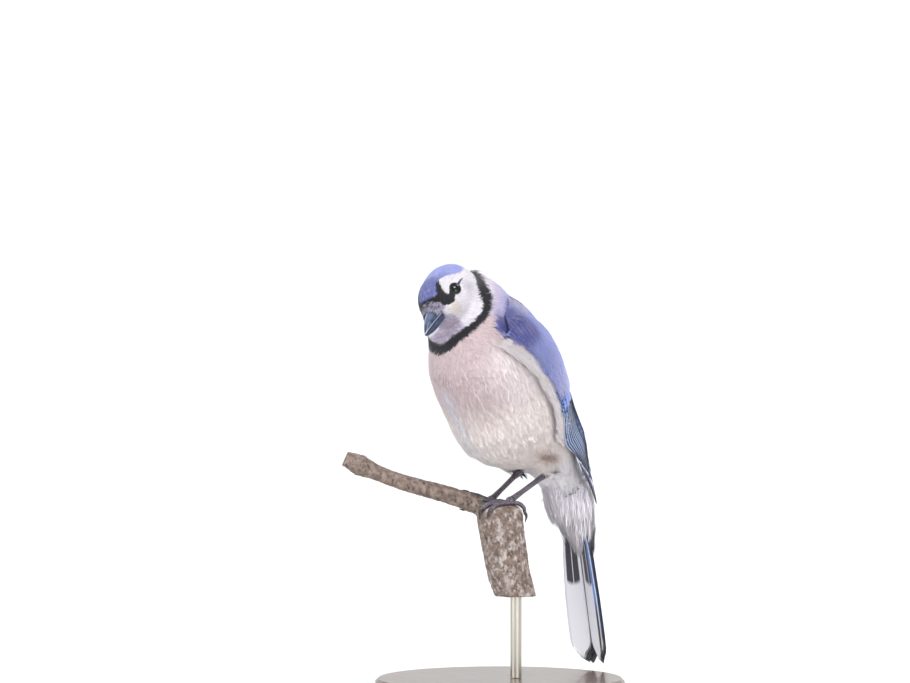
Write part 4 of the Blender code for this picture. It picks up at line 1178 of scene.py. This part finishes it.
def wing_material():
    s, (along, across, each), (kind, top, _) = feather_surface("wing_feather")
    lavender = (0.22, 0.265, 0.64)
    bright = (0.035, 0.12, 0.50)
    cyan = (0.08, 0.27, 0.72)
    deep = (0.055, 0.075, 0.33)
    black = (0.010, 0.010, 0.016)
    white = (0.86, 0.86, 0.90)
    grey = (0.10, 0.10, 0.13)
    cloud = s.noise(110.0, 2.0)
    plain = s.mix(s.ramp(cloud, 0.40, 0.75), lavender, deep)
    colour = s.mix(is_kind(s, kind, SCAPULAR), plain, lavender)
    # barred blue on the secondaries, their coverts and the tertials
    barred = s.mix(s.ramp(cloud, 0.3, 0.7), bright, cyan)
    short = s.mix(s.ramp(bars(s, along, 9.0, 0.35, each), -0.15, 0.10), barred, black)
    long = s.mix(s.ramp(bars(s, along, 15.0, 0.45, each), -0.30, -0.05), barred, black)
    greater = s.mix(s.ramp(along, 0.52, 0.66), lavender, s.mix(s.ramp(along, 0.84, 0.88), short, white))
    long_tip = s.mix(s.ramp(along, 0.92, 0.95), long, white)
    secondary = s.mix(s.ramp(across, -0.05, -0.15), black, long_tip)
    tertial = s.mix(s.ramp(along, 0.90, 0.94), long, white)
    # primaries: blue outer web with a pale rim, black inner web, darker toward the tip
    primary = s.mix(s.ramp(along, 0.62, 0.9), cyan, deep)
    primary = s.mix(s.ramp(across, -0.91, -0.95), primary, white)
    primary = s.mix(s.ramp(across, -0.81, -0.77), primary, black)
    for code, web in ((GREATER, greater), (PRIMARY_COVERT, short), (SECONDARY, secondary), (TERTIAL, tertial),
                      (PRIMARY, primary)):
        colour = s.mix(is_kind(s, kind, code), colour, web)
    # shaft, then the grey underside
    shaft = s.ramp(s.size(across), 0.045, 0.03)
    colour = s.mix(s.times(shaft, s.ramp(along, 1.0, 0.5)), colour, black)
    s.link("Base Color", s.mix(top, grey, colour))
    return s.material


def wing_frame(a, b, h):
    """Places over the wing's hull with the directions back, up and outward there."""
    step = 0.5 * MM
    root = wing_place(a, b, h)
    back = unit(wing_place(a + step, b, h) - root)
    up = unit(wing_place(a, b + step, h) - root)
    return root, back, up, unit(wing_place(a, b, h + step) - root)


def wing_tone(a, b):
    """Colour of the soft feathers over the folded arm: deep at the bend, partly their own colour and partly
    painted shade, paler behind.
    """
    tone = np.tile(WING_MIDDLE, (len(a), 1))
    tone = mix(tone, LILAC, 0.7 * smooth(2 * MM, -9 * MM, a) * smooth(8 * MM, 14 * MM, b))
    # deep blue at the bend: partly its own colour, partly painted shade
    tone = mix(tone, WING_DEEP_AND_SHADE, smooth(12 * MM, 4 * MM, a) * smooth(12 * MM, 6 * MM, b))
    tone = mix(tone, WING_DEEP_AND_SHADE, 0.35 * smooth(4 * MM, 0, b - lower_edge(a)))
    return mix(tone, WING_PALE, smooth(20 * MM, 44 * MM, a))


def soft_layer(body, name, side, a, b, h, length, width, rise, slant, fan, tone, seed):
    """Thin soft barbs over the wing's side of the body; slant turns them up from straight back."""
    draw = np.random.default_rng(seed)
    count = len(a)
    root, back, up, out = wing_frame(a, b, h)
    turn = slant + draw.normal(0, fan, count)
    along = back * np.cos(turn)[:, None] + up * np.sin(turn)[:, None]
    flip = np.array((side, 1, 1))
    root = root * flip
    tone = tone * draw.uniform(0.88, 1.12, count)[:, None]
    uv = skin_uv(root, *trunk_coords(root, body["lookup"]))
    tufts(body, name, BARB, root, along * flip, out * flip, length, width, rise, 1 / WING_BEND,
          draw.normal(0, 0.10, count), 0.06 * MM, tone, COAT_SHADES, uv)


def wing_down(body, name, side, seed):
    """Soft barbs that hide the edges of the small coverts."""
    draw = np.random.default_rng(seed)
    count = WING_BARBS
    a = draw.uniform(-13, 48, count) * MM
    low = np.maximum(lower_edge(a), edge_at(FRONT_EDGE, a))
    b = low + (arm_top(a) + 9 * MM - low) * draw.uniform(0.02, 1, count)
    over = core_height(np.maximum(a, -7 * MM), b) + draw.uniform(1.2, 1.9, count) * MM
    h = over * smooth(-14 * MM, -4 * MM, a)
    pale = draw.uniform(size=count) < 0.22
    tone = mix(wing_tone(a, b), LILAC, 0.6 * pale)
    length = draw.uniform(4.5, 8, count) * MM
    width = draw.uniform(0.14, 0.24, count) * MM
    rise = draw.uniform(0.3, 0.8, count) * MM + 1.2 * MM * (a < -7 * MM)
    soft_layer(body, "coat_wing_" + name, side, a, b, h, length, width, rise, 0.0, 0.16, tone, seed + 1)


def flank_wisps(body, name, side, seed):
    """Long loose flank feathers that curl up over the wing's lower edge."""
    draw = np.random.default_rng(seed)
    total = FLANK_BUNDLES * BARBS_IN_BUNDLE

    def per_bundle(low, high):
        return np.repeat(draw.uniform(low, high, FLANK_BUNDLES), BARBS_IN_BUNDLE)

    a = per_bundle(-4, 74)
    reach = per_bundle(5, 9) * draw.uniform(0.7, 1.1, total) + 3 * smooth(52, 66, a)
    down = per_bundle(-0.5, 4.5) + draw.normal(0, 0.6, total)
    a = (a + draw.normal(0, 0.8, total)) * MM
    b = lower_edge(a) - down * MM
    rise = draw.uniform(0.3, 1.0, total) * MM
    h = np.interp(down, (-0.5, 5), (2.4, 0.8)) * MM
    tone = mix(np.tile(FLANK * 1.1, (total, 1)), WHITE, per_bundle(0, 0.7))
    width = draw.uniform(0.12, 0.20, total) * MM
    soft_layer(body, "coat_flank_" + name, side, a, b, h, reach * MM, width, rise, 0.5, 0.24, tone, seed + 1)


def build_wings(body):
    material = wing_material()
    feathers = wing_feathers()
    points, faces, values = wing_core()
    for side, name in ((1, "left"), (-1, "right")):
        mirror = side < 0
        joined = join_feathers(f"wing_{name}_feathers", feathers, mirror)
        finish(joined, material, "wing_feather", "wing_" + name)
        order = faces[:, ::-1] if mirror else faces
        core = make_mesh(f"wing_{name}_arm", points * (side, 1, 1), order, values)
        finish(core, material, "wing_feather", "wing_" + name)
        wing_down(body, name, side, 71 + side)
        flank_wisps(body, name, side, 81 + side)


def tail_feathers():
    """Six pairs, the middle pair uppermost and each further pair below."""
    feathers = []
    draw = np.random.default_rng(17)
    for side in (1, -1):
        for i in range(TAIL_PAIRS):
            length = TAIL_LENGTH - 0.8 * MM * i
            outer = TAIL_HALF_WIDTH - 0.55 * MM * (TAIL_PAIRS - 1 - i)
            inner = -2.4 * MM if i == 0 else 0.25 * MM
            a = line(length * 0.1, length, 30)
            shift = np.interp(a / length, (0.1, 0.3, 0.62, 0.93, 1.0), (0.45, 0.8, 0.98, 1.0, 1.0))
            centre = side * 0.5 * (outer + inner) * shift
            half = -side * 0.5 * (outer - inner) * shift
            level = np.full(len(a), TAIL_LAYER if i == 0 and side == 1 else -1.6 * TAIL_LAYER * i)
            vane = feather(tail_place, a, centre, half, level, level, KINDS[i], TAIL_SHAPE,
                           draw.uniform(), columns=9, wave=0.05, cup=0.15, rounding=0.045)
            vane[2][:, 2] = float(side > 0)
            feathers.append(vane)
    return feathers


def tail_material():
    s, (along, across, each), (kind, top, left) = feather_surface("tail_feather")
    bright = (0.05, 0.17, 0.58)
    sky = (0.12, 0.30, 0.78)
    black = (0.010, 0.010, 0.016)
    white = (0.88, 0.88, 0.92)
    pale = (0.80, 0.79, 0.86)
    smoke = (0.045, 0.042, 0.055)
    cloud = s.noise(90.0, 2.0)
    blue = s.mix(s.ramp(cloud, 0.3, 0.7), bright, sky)
    above = s.mix(s.ramp(bars(s, along, 17.0, 0.4, each), 0.62, 0.84), blue, black)
    above = s.mix(s.ramp(along, 0.80, 0.86), above, black)
    above = s.mix(s.times(s.ramp(along, 0.86, 0.90), s.ramp(kind, 0.12, 0.42)), above, white)
    shaft = s.ramp(s.size(across), 0.05, 0.03)
    above = s.mix(s.times(shaft, s.ramp(along, 1.0, 0.6)), above, black)
    # underside: smoky toward the root, pale and white toward the tip, with pale rims
    bowed = s.math('ADD', s.math('ADD', along, s.times(cloud, 0.06)), s.times(s.times(across, across), 0.05))
    low = s.mix(s.ramp(bowed, 0.53, 0.56), smoke, pale)
    low = s.mix(s.ramp(s.size(across), 0.66, 0.74), low, pale)
    low = s.mix(s.ramp(along, 0.62, 0.95), low, white)
    # outer rim on the left: blue, then black toward the tip, with a fine white line
    rim = s.mix(s.ramp(along, 0.58, 0.70), blue, black)
    rim = s.mix(s.ramp(across, -0.84, -0.90), rim, white)
    low = s.mix(s.times(left, s.ramp(across, -0.42, -0.52)), low, rim)
    low = s.mix(s.ramp(kind, 0.48, 0.42), low, smoke)
    low = s.mix(s.times(shaft, s.ramp(along, 0.9, 0.4)), low, pale)
    s.link("Base Color", s.mix(top, low, above))
    return s.material


# The tail's root: place along it, half width, rise above and depth below, in millimetres
TAIL_CORE = np.array(((-7, 10.2, 2.6, 25), (7, 11, 2.6, 21.5), (18, 10.4, 2.2, 15.5), (29, 7, 0.6, 9.6)))
TAIL_ROWS = 24
TAIL_SEGMENTS = 40


def tail_core():
    """Rings of points round the tail's thick root, which the coverts hide."""
    a = np.linspace(TAIL_CORE[0, 0], TAIL_CORE[-1, 0], TAIL_ROWS)
    half, top, bottom = (np.interp(a, TAIL_CORE[:, 0], TAIL_CORE[:, k]) - 0.6 for k in (1, 2, 3))
    turn = np.linspace(0, 2 * math.pi, TAIL_SEGMENTS, endpoint=False)
    rise = np.where(np.sin(turn)[None] > 0, top[:, None], bottom[:, None]) * np.sin(turn)[None]
    side = half[:, None] * np.cos(turn)[None] * MM
    return tail_place(a[:, None] * MM, side, rise * MM + np.abs(side) * TAIL_ROOF * 0.6)


def tail_coverts(body, points, grid):
    """Soft tufts above and below, from the tail's root."""
    draw = np.random.default_rng(23)
    count = TAIL_COVERTS
    quad = points[grid[draw.integers(0, len(grid), count)]]
    spots = quad.mean(axis=1) + draw.normal(0, 0.3 * MM, (count, 3))
    normal = unit(np.cross(quad[:, 2] - quad[:, 0], quad[:, 3] - quad[:, 1]))
    reach = (spots - TAIL_ROOT) @ TAIL_DOWN
    inward = ((spots - tail_place(reach, 0, -5 * MM)) * normal).sum(axis=1) < 0
    normal = np.where(inward[:, None], -normal, normal)
    down = unit(TAIL_DOWN - normal * (TAIL_DOWN * normal).sum(axis=1, keepdims=True))
    level = (spots - TAIL_ROOT) @ TAIL_BACK
    tone = mix(np.tile(WHITE * (0.97, 0.96, 1.0), (count, 1)), BLUE, smooth(1.0 * MM, 2.4 * MM, level))
    length = np.where(level > 0, 10.0, 12.0) * MM * draw.uniform(0.8, 1.15, count)
    upper = smooth(11 * MM, 2 * MM, reach) * smooth(-2 * MM, -7 * MM, level)
    rise = (0.8 + 0.8 * upper) * MM
    spots = spots + normal * (1.8 * MM * upper)[:, None]
    fall = (TAIL_ROOT[2] - spots[:, 2]) / 0.04
    uv = np.stack((0.5 + np.arctan2(spots[:, 0], level) / 7, 0.1 + 0.8 * fall), axis=1)
    for kind, shape, width, thick, repeat, fan in (("vane", VANE, 0.8, 0.07, 1, 0.08),
                                                   ("barb", BARB, 0.15, 0.06, 6, 0.14)):
        pick = np.repeat(np.arange(count), repeat)
        total = len(pick)
        turn = draw.normal(0, fan, total)
        sideways = np.cross(normal, down)[pick]
        along = unit(down[pick] * np.cos(turn)[:, None] + sideways * np.sin(turn)[:, None])
        root = spots[pick] + sideways * draw.normal(0, 0.9 * MM, total)[:, None]
        root = root + down[pick] * draw.normal(0, 1.5 * MM, total)[:, None]
        shade = tone[pick] * draw.uniform(0.93, 1.07, total)[:, None]
        long = length[pick] * draw.uniform(0.8, 1.1, total)
        up = rise[pick] * draw.uniform(0.4, 0.9, total)
        tufts(body, f"coat_tail_{kind}", shape, root, along, normal[pick], long, width * MM, up,
              1 / TAIL_BEND, draw.normal(0, 0.05, total), thick * MM, shade, (0.95, 1.05), uv[pick])


def build_tail(body):
    finish(join_feathers("tail_feathers", tail_feathers()), tail_material(), "tail_feather", "tail")
    points = tail_core()
    grid = grid_faces(TAIL_ROWS, TAIL_SEGMENTS, wrap=True)
    shut, faces = closed(points, grid, TAIL_ROWS, TAIL_SEGMENTS)
    level = (shut - TAIL_ROOT) @ TAIL_BACK
    tone = mix(np.tile(WHITE, (len(shut), 1)), BLUE, smooth(-0.5 * MM, 1.5 * MM, level))
    values = {"tone": tone * 0.8, "vane": np.tile((0, 0, 0.5), (len(shut), 1))}
    core = make_mesh("tail_root", shut, faces, values)
    finish(core, body["material"], "plumage", "tail")
    tail_coverts(body, points, grid)


# Bill, eyes, legs

def bill_half_width(f):
    return BILL_HALF_WIDTH * (1 - f) ** 0.8 + 0.35 * MM


def mouth_level(f):
    return MOUTH_LEVEL - MOUTH_DROP * f ** 1.6


def bill_form(name, upper):
    """Upper or lower half of the bill as rings from its base to its tip."""
    steps = 40
    around = 24
    reach = 0.995 if upper else 0.93
    rings = []
    for f in reach * np.sin(0.5 * math.pi * np.linspace(0, 1, steps)):
        half = bill_half_width(f)
        low = mouth_level(f)
        forward = BILL_BASE - 0.6 * MM + (BILL_TIP - BILL_BASE + 0.6 * MM) * f
        turn = np.linspace(0, math.pi, around)
        if upper:
            top = max(CULMEN_RISE - CULMEN_DROP * f ** 2.1, low + 0.5 * MM)
            # the ridge of the bill is a soft edge, and the cutting edge turns in below
            side = half * np.cos(turn) * (1 - 0.10 * np.sin(turn) ** 2)
            up = low + (top - low) * np.sin(turn) ** 0.92
            inward = np.linspace(1, 0, 6)[1:] * half * 0.86
            side = np.concatenate((side, -inward, inward[::-1][1:]))
            up = np.concatenate((up, np.full(len(inward) * 2 - 1, low + 0.10 * MM)))
        else:
            half *= 0.93
            top = low - GAP * 0.7
            bottom = top - CHIN_DEPTH * (1 - (f / 0.96) ** 2.6) - 0.35 * MM
            side = half * np.cos(turn)
            up = top + (bottom - top) * np.sin(turn) ** 0.8
        rings.append(head_place(np.full(len(side), forward), side, up))
    segments = len(rings[0])
    points = np.vstack(rings)
    shut, faces = closed(points, grid_faces(steps, segments, wrap=True), steps, segments)
    along = np.append(np.repeat(np.linspace(0, 1, steps), segments), (0, 1))
    local = head_local(shut)
    edge = np.clip((local[:, 2] - mouth_level(along) / MM) / 4, -1, 1)
    return make_mesh(name, shut, faces, {"vane": np.stack((along, edge, 0 * along), axis=1)})


def horn_material():
    s = Surface("bill_horn", 0.34, coat=0.15)
    along, height, _ = s.parts("vane")
    slate = (0.016, 0.020, 0.042)
    steel = (0.060, 0.090, 0.19)
    streak = s.noise(380.0, 4.0)
    colour = s.mix(s.ramp(streak, 0.35, 0.7), slate, steel)
    # painted highlight: the top of the bill is lighter toward its base
    ridge = s.times(s.ramp(height, 0.55, 1.0), s.ramp(along, 1.0, 0.2))
    colour = s.mix(ridge, colour, (0.10, 0.14, 0.24))
    # painted highlight: a pale streak beside the dark line of the mouth
    edge_highlight = s.times(s.ramp(height, 0.06, 0.10), s.ramp(height, 0.24, 0.16))
    colour = s.mix(edge_highlight, colour, (0.26, 0.32, 0.44))
    colour = s.mix(s.ramp(s.size(height), 0.07, 0.04), colour, (0.006, 0.006, 0.010))
    s.link("Base Color", colour)
    s.bump(s.noise(900.0, 3.0), 0.00004, 0.5)
    s.link("Roughness", s.math('MULTIPLY_ADD', streak, 0.25, 0.25))
    return s.material


def eye_axes(axis):
    """The axis and two directions across it."""
    across = unit(np.cross(axis, (0.1, 0.2, 1.0)))
    return axis, across, np.cross(axis, across)


def off_axis(axes, polar, turn):
    """Directions at an angle from the axis, turned round it."""
    axis, across, up = axes
    return axis * np.cos(polar) + np.sin(polar) * (across * np.cos(turn) + up * np.sin(turn))


def ring_mesh(name, centre, axes, radii, heights, body=None):
    """Closed ring round an axis, from its profile; with the coat's colours where body is given."""
    axis, across, up = axes
    segments = 64
    turn = np.linspace(0, 2 * math.pi, segments, endpoint=False)[:, None, None]
    radii = radii[None, :, None] * (1 + 0.012 * np.sin(23 * turn))
    where = centre + axis * heights[None, :, None] + radii * (across * np.cos(turn) + up * np.sin(turn))
    points = where.reshape(-1, 3)
    count = len(heights)
    i, k = (x.ravel() for x in np.meshgrid(np.arange(segments), np.arange(count), indexing="ij"))
    j = (i + 1) % segments
    m = (k + 1) % count
    faces = np.stack((i * count + k, i * count + m, j * count + m, j * count + k), axis=1)
    values = {}
    if body:
        values = {"tone": tone_at(points, body), "vane": np.tile((1.0, 0.0, 0.5), (count * segments, 1))}
    return make_mesh(name, points, faces, values)


def lid_tufts(body, name, centre, axes, start, seed):
    """Tiny feathers over the lids, lying away from the bill."""
    draw = np.random.default_rng(seed)
    count = LID_TUFTS
    polar = draw.uniform(start + 0.14, 1.5, count)[:, None]
    turn = draw.uniform(0, 2 * math.pi, count)[:, None]
    out = off_axis(axes, polar, turn)
    root = centre + out * (EYE_RADIUS + 0.3 * MM)
    t, around = trunk_coords(root, body["lookup"])
    along = coat_flow(root, t) + 0.6 * unit(out - axes[0] * (out @ axes[0])[:, None])
    along = unit(along - out * (along * out).sum(axis=1, keepdims=True))
    length = draw.uniform(1.0, 1.7, count) * MM
    tone = tone_at(root + along * length[:, None] * 0.6, body) * draw.uniform(0.92, 1.08, count)[:, None]
    rise = draw.uniform(0.08, 0.2, count) * MM
    tufts(body, f"coat_lids_{name}", BARB, root, along, out, length, 0.12 * MM, rise, 1 / LID_BEND,
          draw.normal(0, 0.1, count), 0.05 * MM, tone, (0.94, 1.05), skin_uv(root, t, around))


def eye_material():
    s = Surface("eye", 0.06)
    iris = s.mix(s.ramp(s.noise(900.0, 3.0), 0.35, 0.7), (0.004, 0.003, 0.003), (0.012, 0.007, 0.005))
    pupil = s.ramp(s.parts("vane")[0], 0.60, 0.54)
    s.link("Base Color", s.mix(pupil, iris, (0.002, 0.002, 0.002)))
    return s.material


def lid_material():
    s = Surface("eyelid", 0.45)
    folds = s.noise(1500.0, 3.0)
    s.link("Base Color", s.mix(folds, (0.012, 0.011, 0.016), (0.05, 0.048, 0.065)))
    s.bump(folds, 0.00006, 0.8)
    return s.material


def eye_ball(name, centre, axis):
    rows = 40
    segments = 48
    turns = np.linspace(0, 2 * math.pi, segments, endpoint=False)
    polar, turn = np.meshgrid(np.linspace(0.02, math.pi - 0.02, rows), turns, indexing="ij")
    points = centre + EYE_RADIUS * 0.985 * off_axis(eye_axes(axis), polar.reshape(-1, 1), turn.reshape(-1, 1))
    shut, faces = closed(points, grid_faces(rows, segments, wrap=True), rows, segments)
    spread = np.append(polar.ravel(), (0, math.pi)) / 1.1
    return make_mesh(name, shut, faces[:, ::-1], {"vane": np.stack((spread, 0 * spread, 0 * spread), axis=1)})


def build_eyes(body):
    material = eye_material()
    rim_material = lid_material()
    start = math.asin(EYE_OPENING / EYE_RADIUS)
    roll = np.linspace(0, 2 * math.pi, 10, endpoint=False)
    rim_radii = EYE_RADIUS * np.sin(start) + 0.26 * MM * np.cos(roll)
    rim_heights = EYE_RADIUS * np.cos(start) + 0.30 * MM * np.sin(roll) + 0.1 * MM
    polar = np.concatenate((np.linspace(start, 1.45, 9), np.linspace(1.45, start, 9)))
    size = EYE_RADIUS + np.repeat((0.34, 0.04), 9) * MM
    for side, name in ((1, "eye_left"), (-1, "eye_right")):
        centre = HEAD_CENTRE + AHEAD * EYE_PLACE[0] + ASIDE * EYE_PLACE[1] * side + ABOVE * EYE_PLACE[2]
        axis = unit(ASIDE * side * math.cos(EYE_TOE_IN) + AHEAD * math.sin(EYE_TOE_IN))
        finish(eye_ball(name + "_ball", centre, axis), material, "eye", name)
        opening = head_place(EYE_MIDDLE[0] * MM, EYE_MIDDLE[1] * MM * side, EYE_MIDDLE[2] * MM)
        axes = eye_axes(unit(opening.ravel() - centre))
        finish(ring_mesh(name + "_lid", centre, axes, rim_radii, rim_heights), rim_material, "eye")
        lid = ring_mesh(name + "_lid_skin", centre, axes, size * np.sin(polar), size * np.cos(polar), body)
        finish(lid, body["material"], "plumage")
        lid_tufts(body, name, centre, axes, start, 91 + side)


def build_bill():
    material = horn_material()
    finish(bill_form("bill_upper_horn", True), material, "horn", "bill_upper")
    finish(bill_form("bill_lower_horn", False), material, "horn", "bill_lower")


def build_bristles(body):
    """Bristles that lie forward over the nostrils."""
    draw = np.random.default_rng(31)
    count = BRISTLES
    side = draw.choice((-1, 1), count)
    turn = np.radians(draw.uniform(4, 84, count))
    forward = draw.uniform(13.8, 18.6, count)
    radius = np.interp(forward, (13.2, 15.5, 18.6), (7.6, 5.2, 4.5))
    height = np.interp(forward, (13.2, 15.5, 18.6), (8.6, 5.2, 4.0))
    left = side * np.sin(turn) * radius
    up = np.cos(turn) * height - 0.3
    root = head_place(forward * MM, left * MM, up * MM)
    normal = unit(np.sin(turn)[:, None] * side[:, None] * ASIDE + np.cos(turn)[:, None] * ABOVE)
    along = unit(AHEAD + 0.25 * side[:, None] * ASIDE * draw.uniform(-0.4, 1, count)[:, None] - 0.25 * ABOVE)
    along = unit(along - normal * (along * normal).sum(axis=1, keepdims=True))
    dark = draw.uniform(size=count) < 0.30
    tone = np.where(dark[:, None], BLACK * 3, LILAC * 1.15)
    uv = np.stack((0.5 + left / 20, 0.2 + forward / 30), axis=1)
    length = draw.uniform(2.2, 3.9, count) * MM
    width = draw.uniform(0.14, 0.26, count) * MM
    rise = draw.uniform(0.2, 0.9, count) * MM
    tufts(body, "coat_bristles", BARB, root, along, normal, length, width, rise, 1 / BRISTLE_BEND,
          draw.normal(0, 0.15, count), 0.07 * MM, tone, (0.8, 1.0), uv)


def mottled(name, colours, scale, roughness, depth, coat=0.0, stretch=(1, 1, 1)):
    """Two colours in a fine noise, which also gives the relief."""
    s = Surface(name, roughness, coat=coat)
    vector = s.node("Mapping", {"Scale": stretch, "Vector": s.node("TexCoord", {}, "Object")})
    field = s.noise(scale, 5.0, vector)
    s.link("Base Color", s.mix(s.ramp(field, 0.3, 0.7), *colours))
    s.bump(field, depth)
    return s.material


def bark_material():
    s = Surface("bark", 0.9)
    grain = s.noise(340.0, 6.0)
    speckle = s.mix(s.ramp(grain, 0.32, 0.60), (0.50, 0.47, 0.45), (1.0, 1.0, 1.0))
    tone = s.attribute("tone", "Color")
    s.link("Base Color", s.node("VectorMath", {0: tone, 1: speckle}, operation='MULTIPLY'))
    s.bump(grain, 0.0006)
    return s.material


# Level direction from the branch to its pale stub
TO_STUB = np.array((0.743, 0.669, 0))


def build_perch():
    """The branch with its bark in relief, cut inward from the solid."""
    co, _, quads = remeshed(add_object("perch_form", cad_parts["perch"].data.copy()), BARK_VOXEL)
    coarse = wobble(co, 9 * MM, 51)
    fine = wobble(co * (1, 1, 0.5), 3.6 * MM, 52)
    pits = smooth(0.2, 0.9, fine) * smooth(-0.6, 0.4, coarse)
    depth = (0.08 + 0.28 * smooth(-0.2, 0.8, coarse) + 0.55 * pits + 0.12 * wobble(co, 1.2 * MM, 53)) * MM
    lichen = smooth(-0.2, 0.7, wobble(co * (1, 1, 0.6), 8 * MM, 54) + 0.4 * wobble(co, 2.6 * MM, 55))
    on_stub = smooth(-12 * MM, -4 * MM, co @ TO_STUB)
    tone = mix(np.tile(BARK, (len(co), 1)), LICHEN, lichen * (0.15 + 0.6 * on_stub))
    # painted shade: the bark is darker in its pits, where the surface is cut deepest
    tone = mix(tone, BARK * 0.22, 0.85 * pits)
    branch = make_mesh("perch_bark", co - vertex_normals(co, quads) * depth[:, None], quads, {"tone": tone})
    finish(branch, bark_material(), "bark", "perch")


def dress(node, material):
    """Finer material for a solid whose shape is right as it is."""
    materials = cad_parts[node].data.materials
    for k in range(len(materials)):
        materials[k] = material
    if not materials:
        materials.append(material)


def build_rest():
    """Materials of the legs, claws and stand, and the branch."""
    scaly = mottled("leg_scale", ((0.030, 0.024, 0.034), (0.17, 0.14, 0.18)), 900.0, 0.42, 0.00016, coat=0.1)
    claw = mottled("claw_horn", ((0.012, 0.012, 0.016), (0.05, 0.05, 0.06)), 700.0, 0.3, 0.00004, coat=0.3)
    wood = mottled("stand_wood", ((0.045, 0.022, 0.012), (0.13, 0.07, 0.04)), 60.0, 0.35, 0.0001, coat=0.3,
                   stretch=(1, 8, 8))
    metal = mottled("stand_metal", ((0.45, 0.42, 0.36), (0.55, 0.52, 0.46)), 400.0, 0.3, 0.00002,
                    stretch=(1, 1, 0.05))
    metal.node_tree.nodes["Principled BSDF"].inputs["Metallic"].default_value = 1.0
    for side in ("left", "right"):
        dress("tarsus_" + side, scaly)
        dress("foot_" + side, scaly)
        for k in range(1, 5):
            dress(f"claw_{side}_{k}", claw)
    build_perch()
    dress("stand_base", wood)
    dress("stand_rod", metal)


# Floor, light and camera

def build_stage():
    """Pale floor that curves up into a wall behind the part."""
    profile = [(FLOOR_FRONT, 0.0), (FLOOR_BACK, 0.0)]
    for k in range(1, CURVE_STEPS + 1):
        turn = 0.5 * math.pi * k / CURVE_STEPS
        profile.append((FLOOR_BACK + CURVE_RADIUS * math.sin(turn), CURVE_RADIUS * (1 - math.cos(turn))))
    profile.append((FLOOR_BACK + CURVE_RADIUS, WALL_TOP))
    away = np.array((-math.sin(VIEW_AZIMUTH), math.cos(VIEW_AZIMUTH), 0.0))
    aside = np.array((math.cos(VIEW_AZIMUTH), math.sin(VIEW_AZIMUTH), 0.0))
    points = [away * reach + aside * side + np.array((0, 0, height)) for reach, height in profile
              for side in (-FLOOR_HALF_WIDTH, FLOOR_HALF_WIDTH)]
    floor = make_mesh("floor", np.array(points), grid_faces(len(profile), 2)[:, ::-1])
    floor.data.materials.append(mottled("floor", ((0.78, 0.78, 0.77), (0.82, 0.82, 0.81)), 3.0, 0.8, 0.0))


def area_light(name, place, target, size, energy, colour):
    data = bpy.data.lights.new(name, 'AREA')
    data.shape = 'DISK'
    data.size = size
    data.energy = energy
    data.color = colour
    lamp = add_object(name, data)
    lamp.location = place
    lamp.rotation_euler = (target - place).to_track_quat('-Z', 'Y').to_euler()


def build_view():
    scene = bpy.context.scene
    right = Vector((math.cos(VIEW_AZIMUTH), math.sin(VIEW_AZIMUTH), 0))
    front = Vector((math.sin(VIEW_AZIMUTH), -math.cos(VIEW_AZIMUTH), 0))
    up = Vector((0, 0, 1))
    data = bpy.data.cameras.new("camera")
    data.lens = LENS
    data.sensor_width = SENSOR
    data.clip_start = 0.05
    data.clip_end = 20
    camera = add_object("camera", data)
    level = math.cos(VIEW_ELEVATION)
    back = Vector((math.sin(VIEW_AZIMUTH) * level, -math.cos(VIEW_AZIMUTH) * level, math.sin(VIEW_ELEVATION)))
    camera.location = VIEW_TARGET + back * VIEW_DISTANCE
    camera.rotation_euler = (-back).to_track_quat('-Z', 'Y').to_euler()
    scene.camera = camera
    for name, (ahead, aside, above, size, energy, colour) in LIGHTS.items():
        place = LIGHTS_MIDDLE + front * ahead + right * aside + up * above
        area_light(name, place, LIGHTS_MIDDLE, size, energy, colour)
    world = bpy.data.worlds.new("studio")
    world.use_nodes = True
    sky = world.node_tree.nodes["Background"].inputs
    sky["Color"].default_value = SKY
    sky["Strength"].default_value = SKY_STRENGTH
    scene.world = world
    scene.view_settings.view_transform = 'Standard'


build_view()
build_stage()
body = build_body()
build_coat(body)
build_wings(body)
build_tail(body)
build_bill()
build_bristles(body)
build_eyes(body)
build_rest()

bpy.context.view_layer.update()
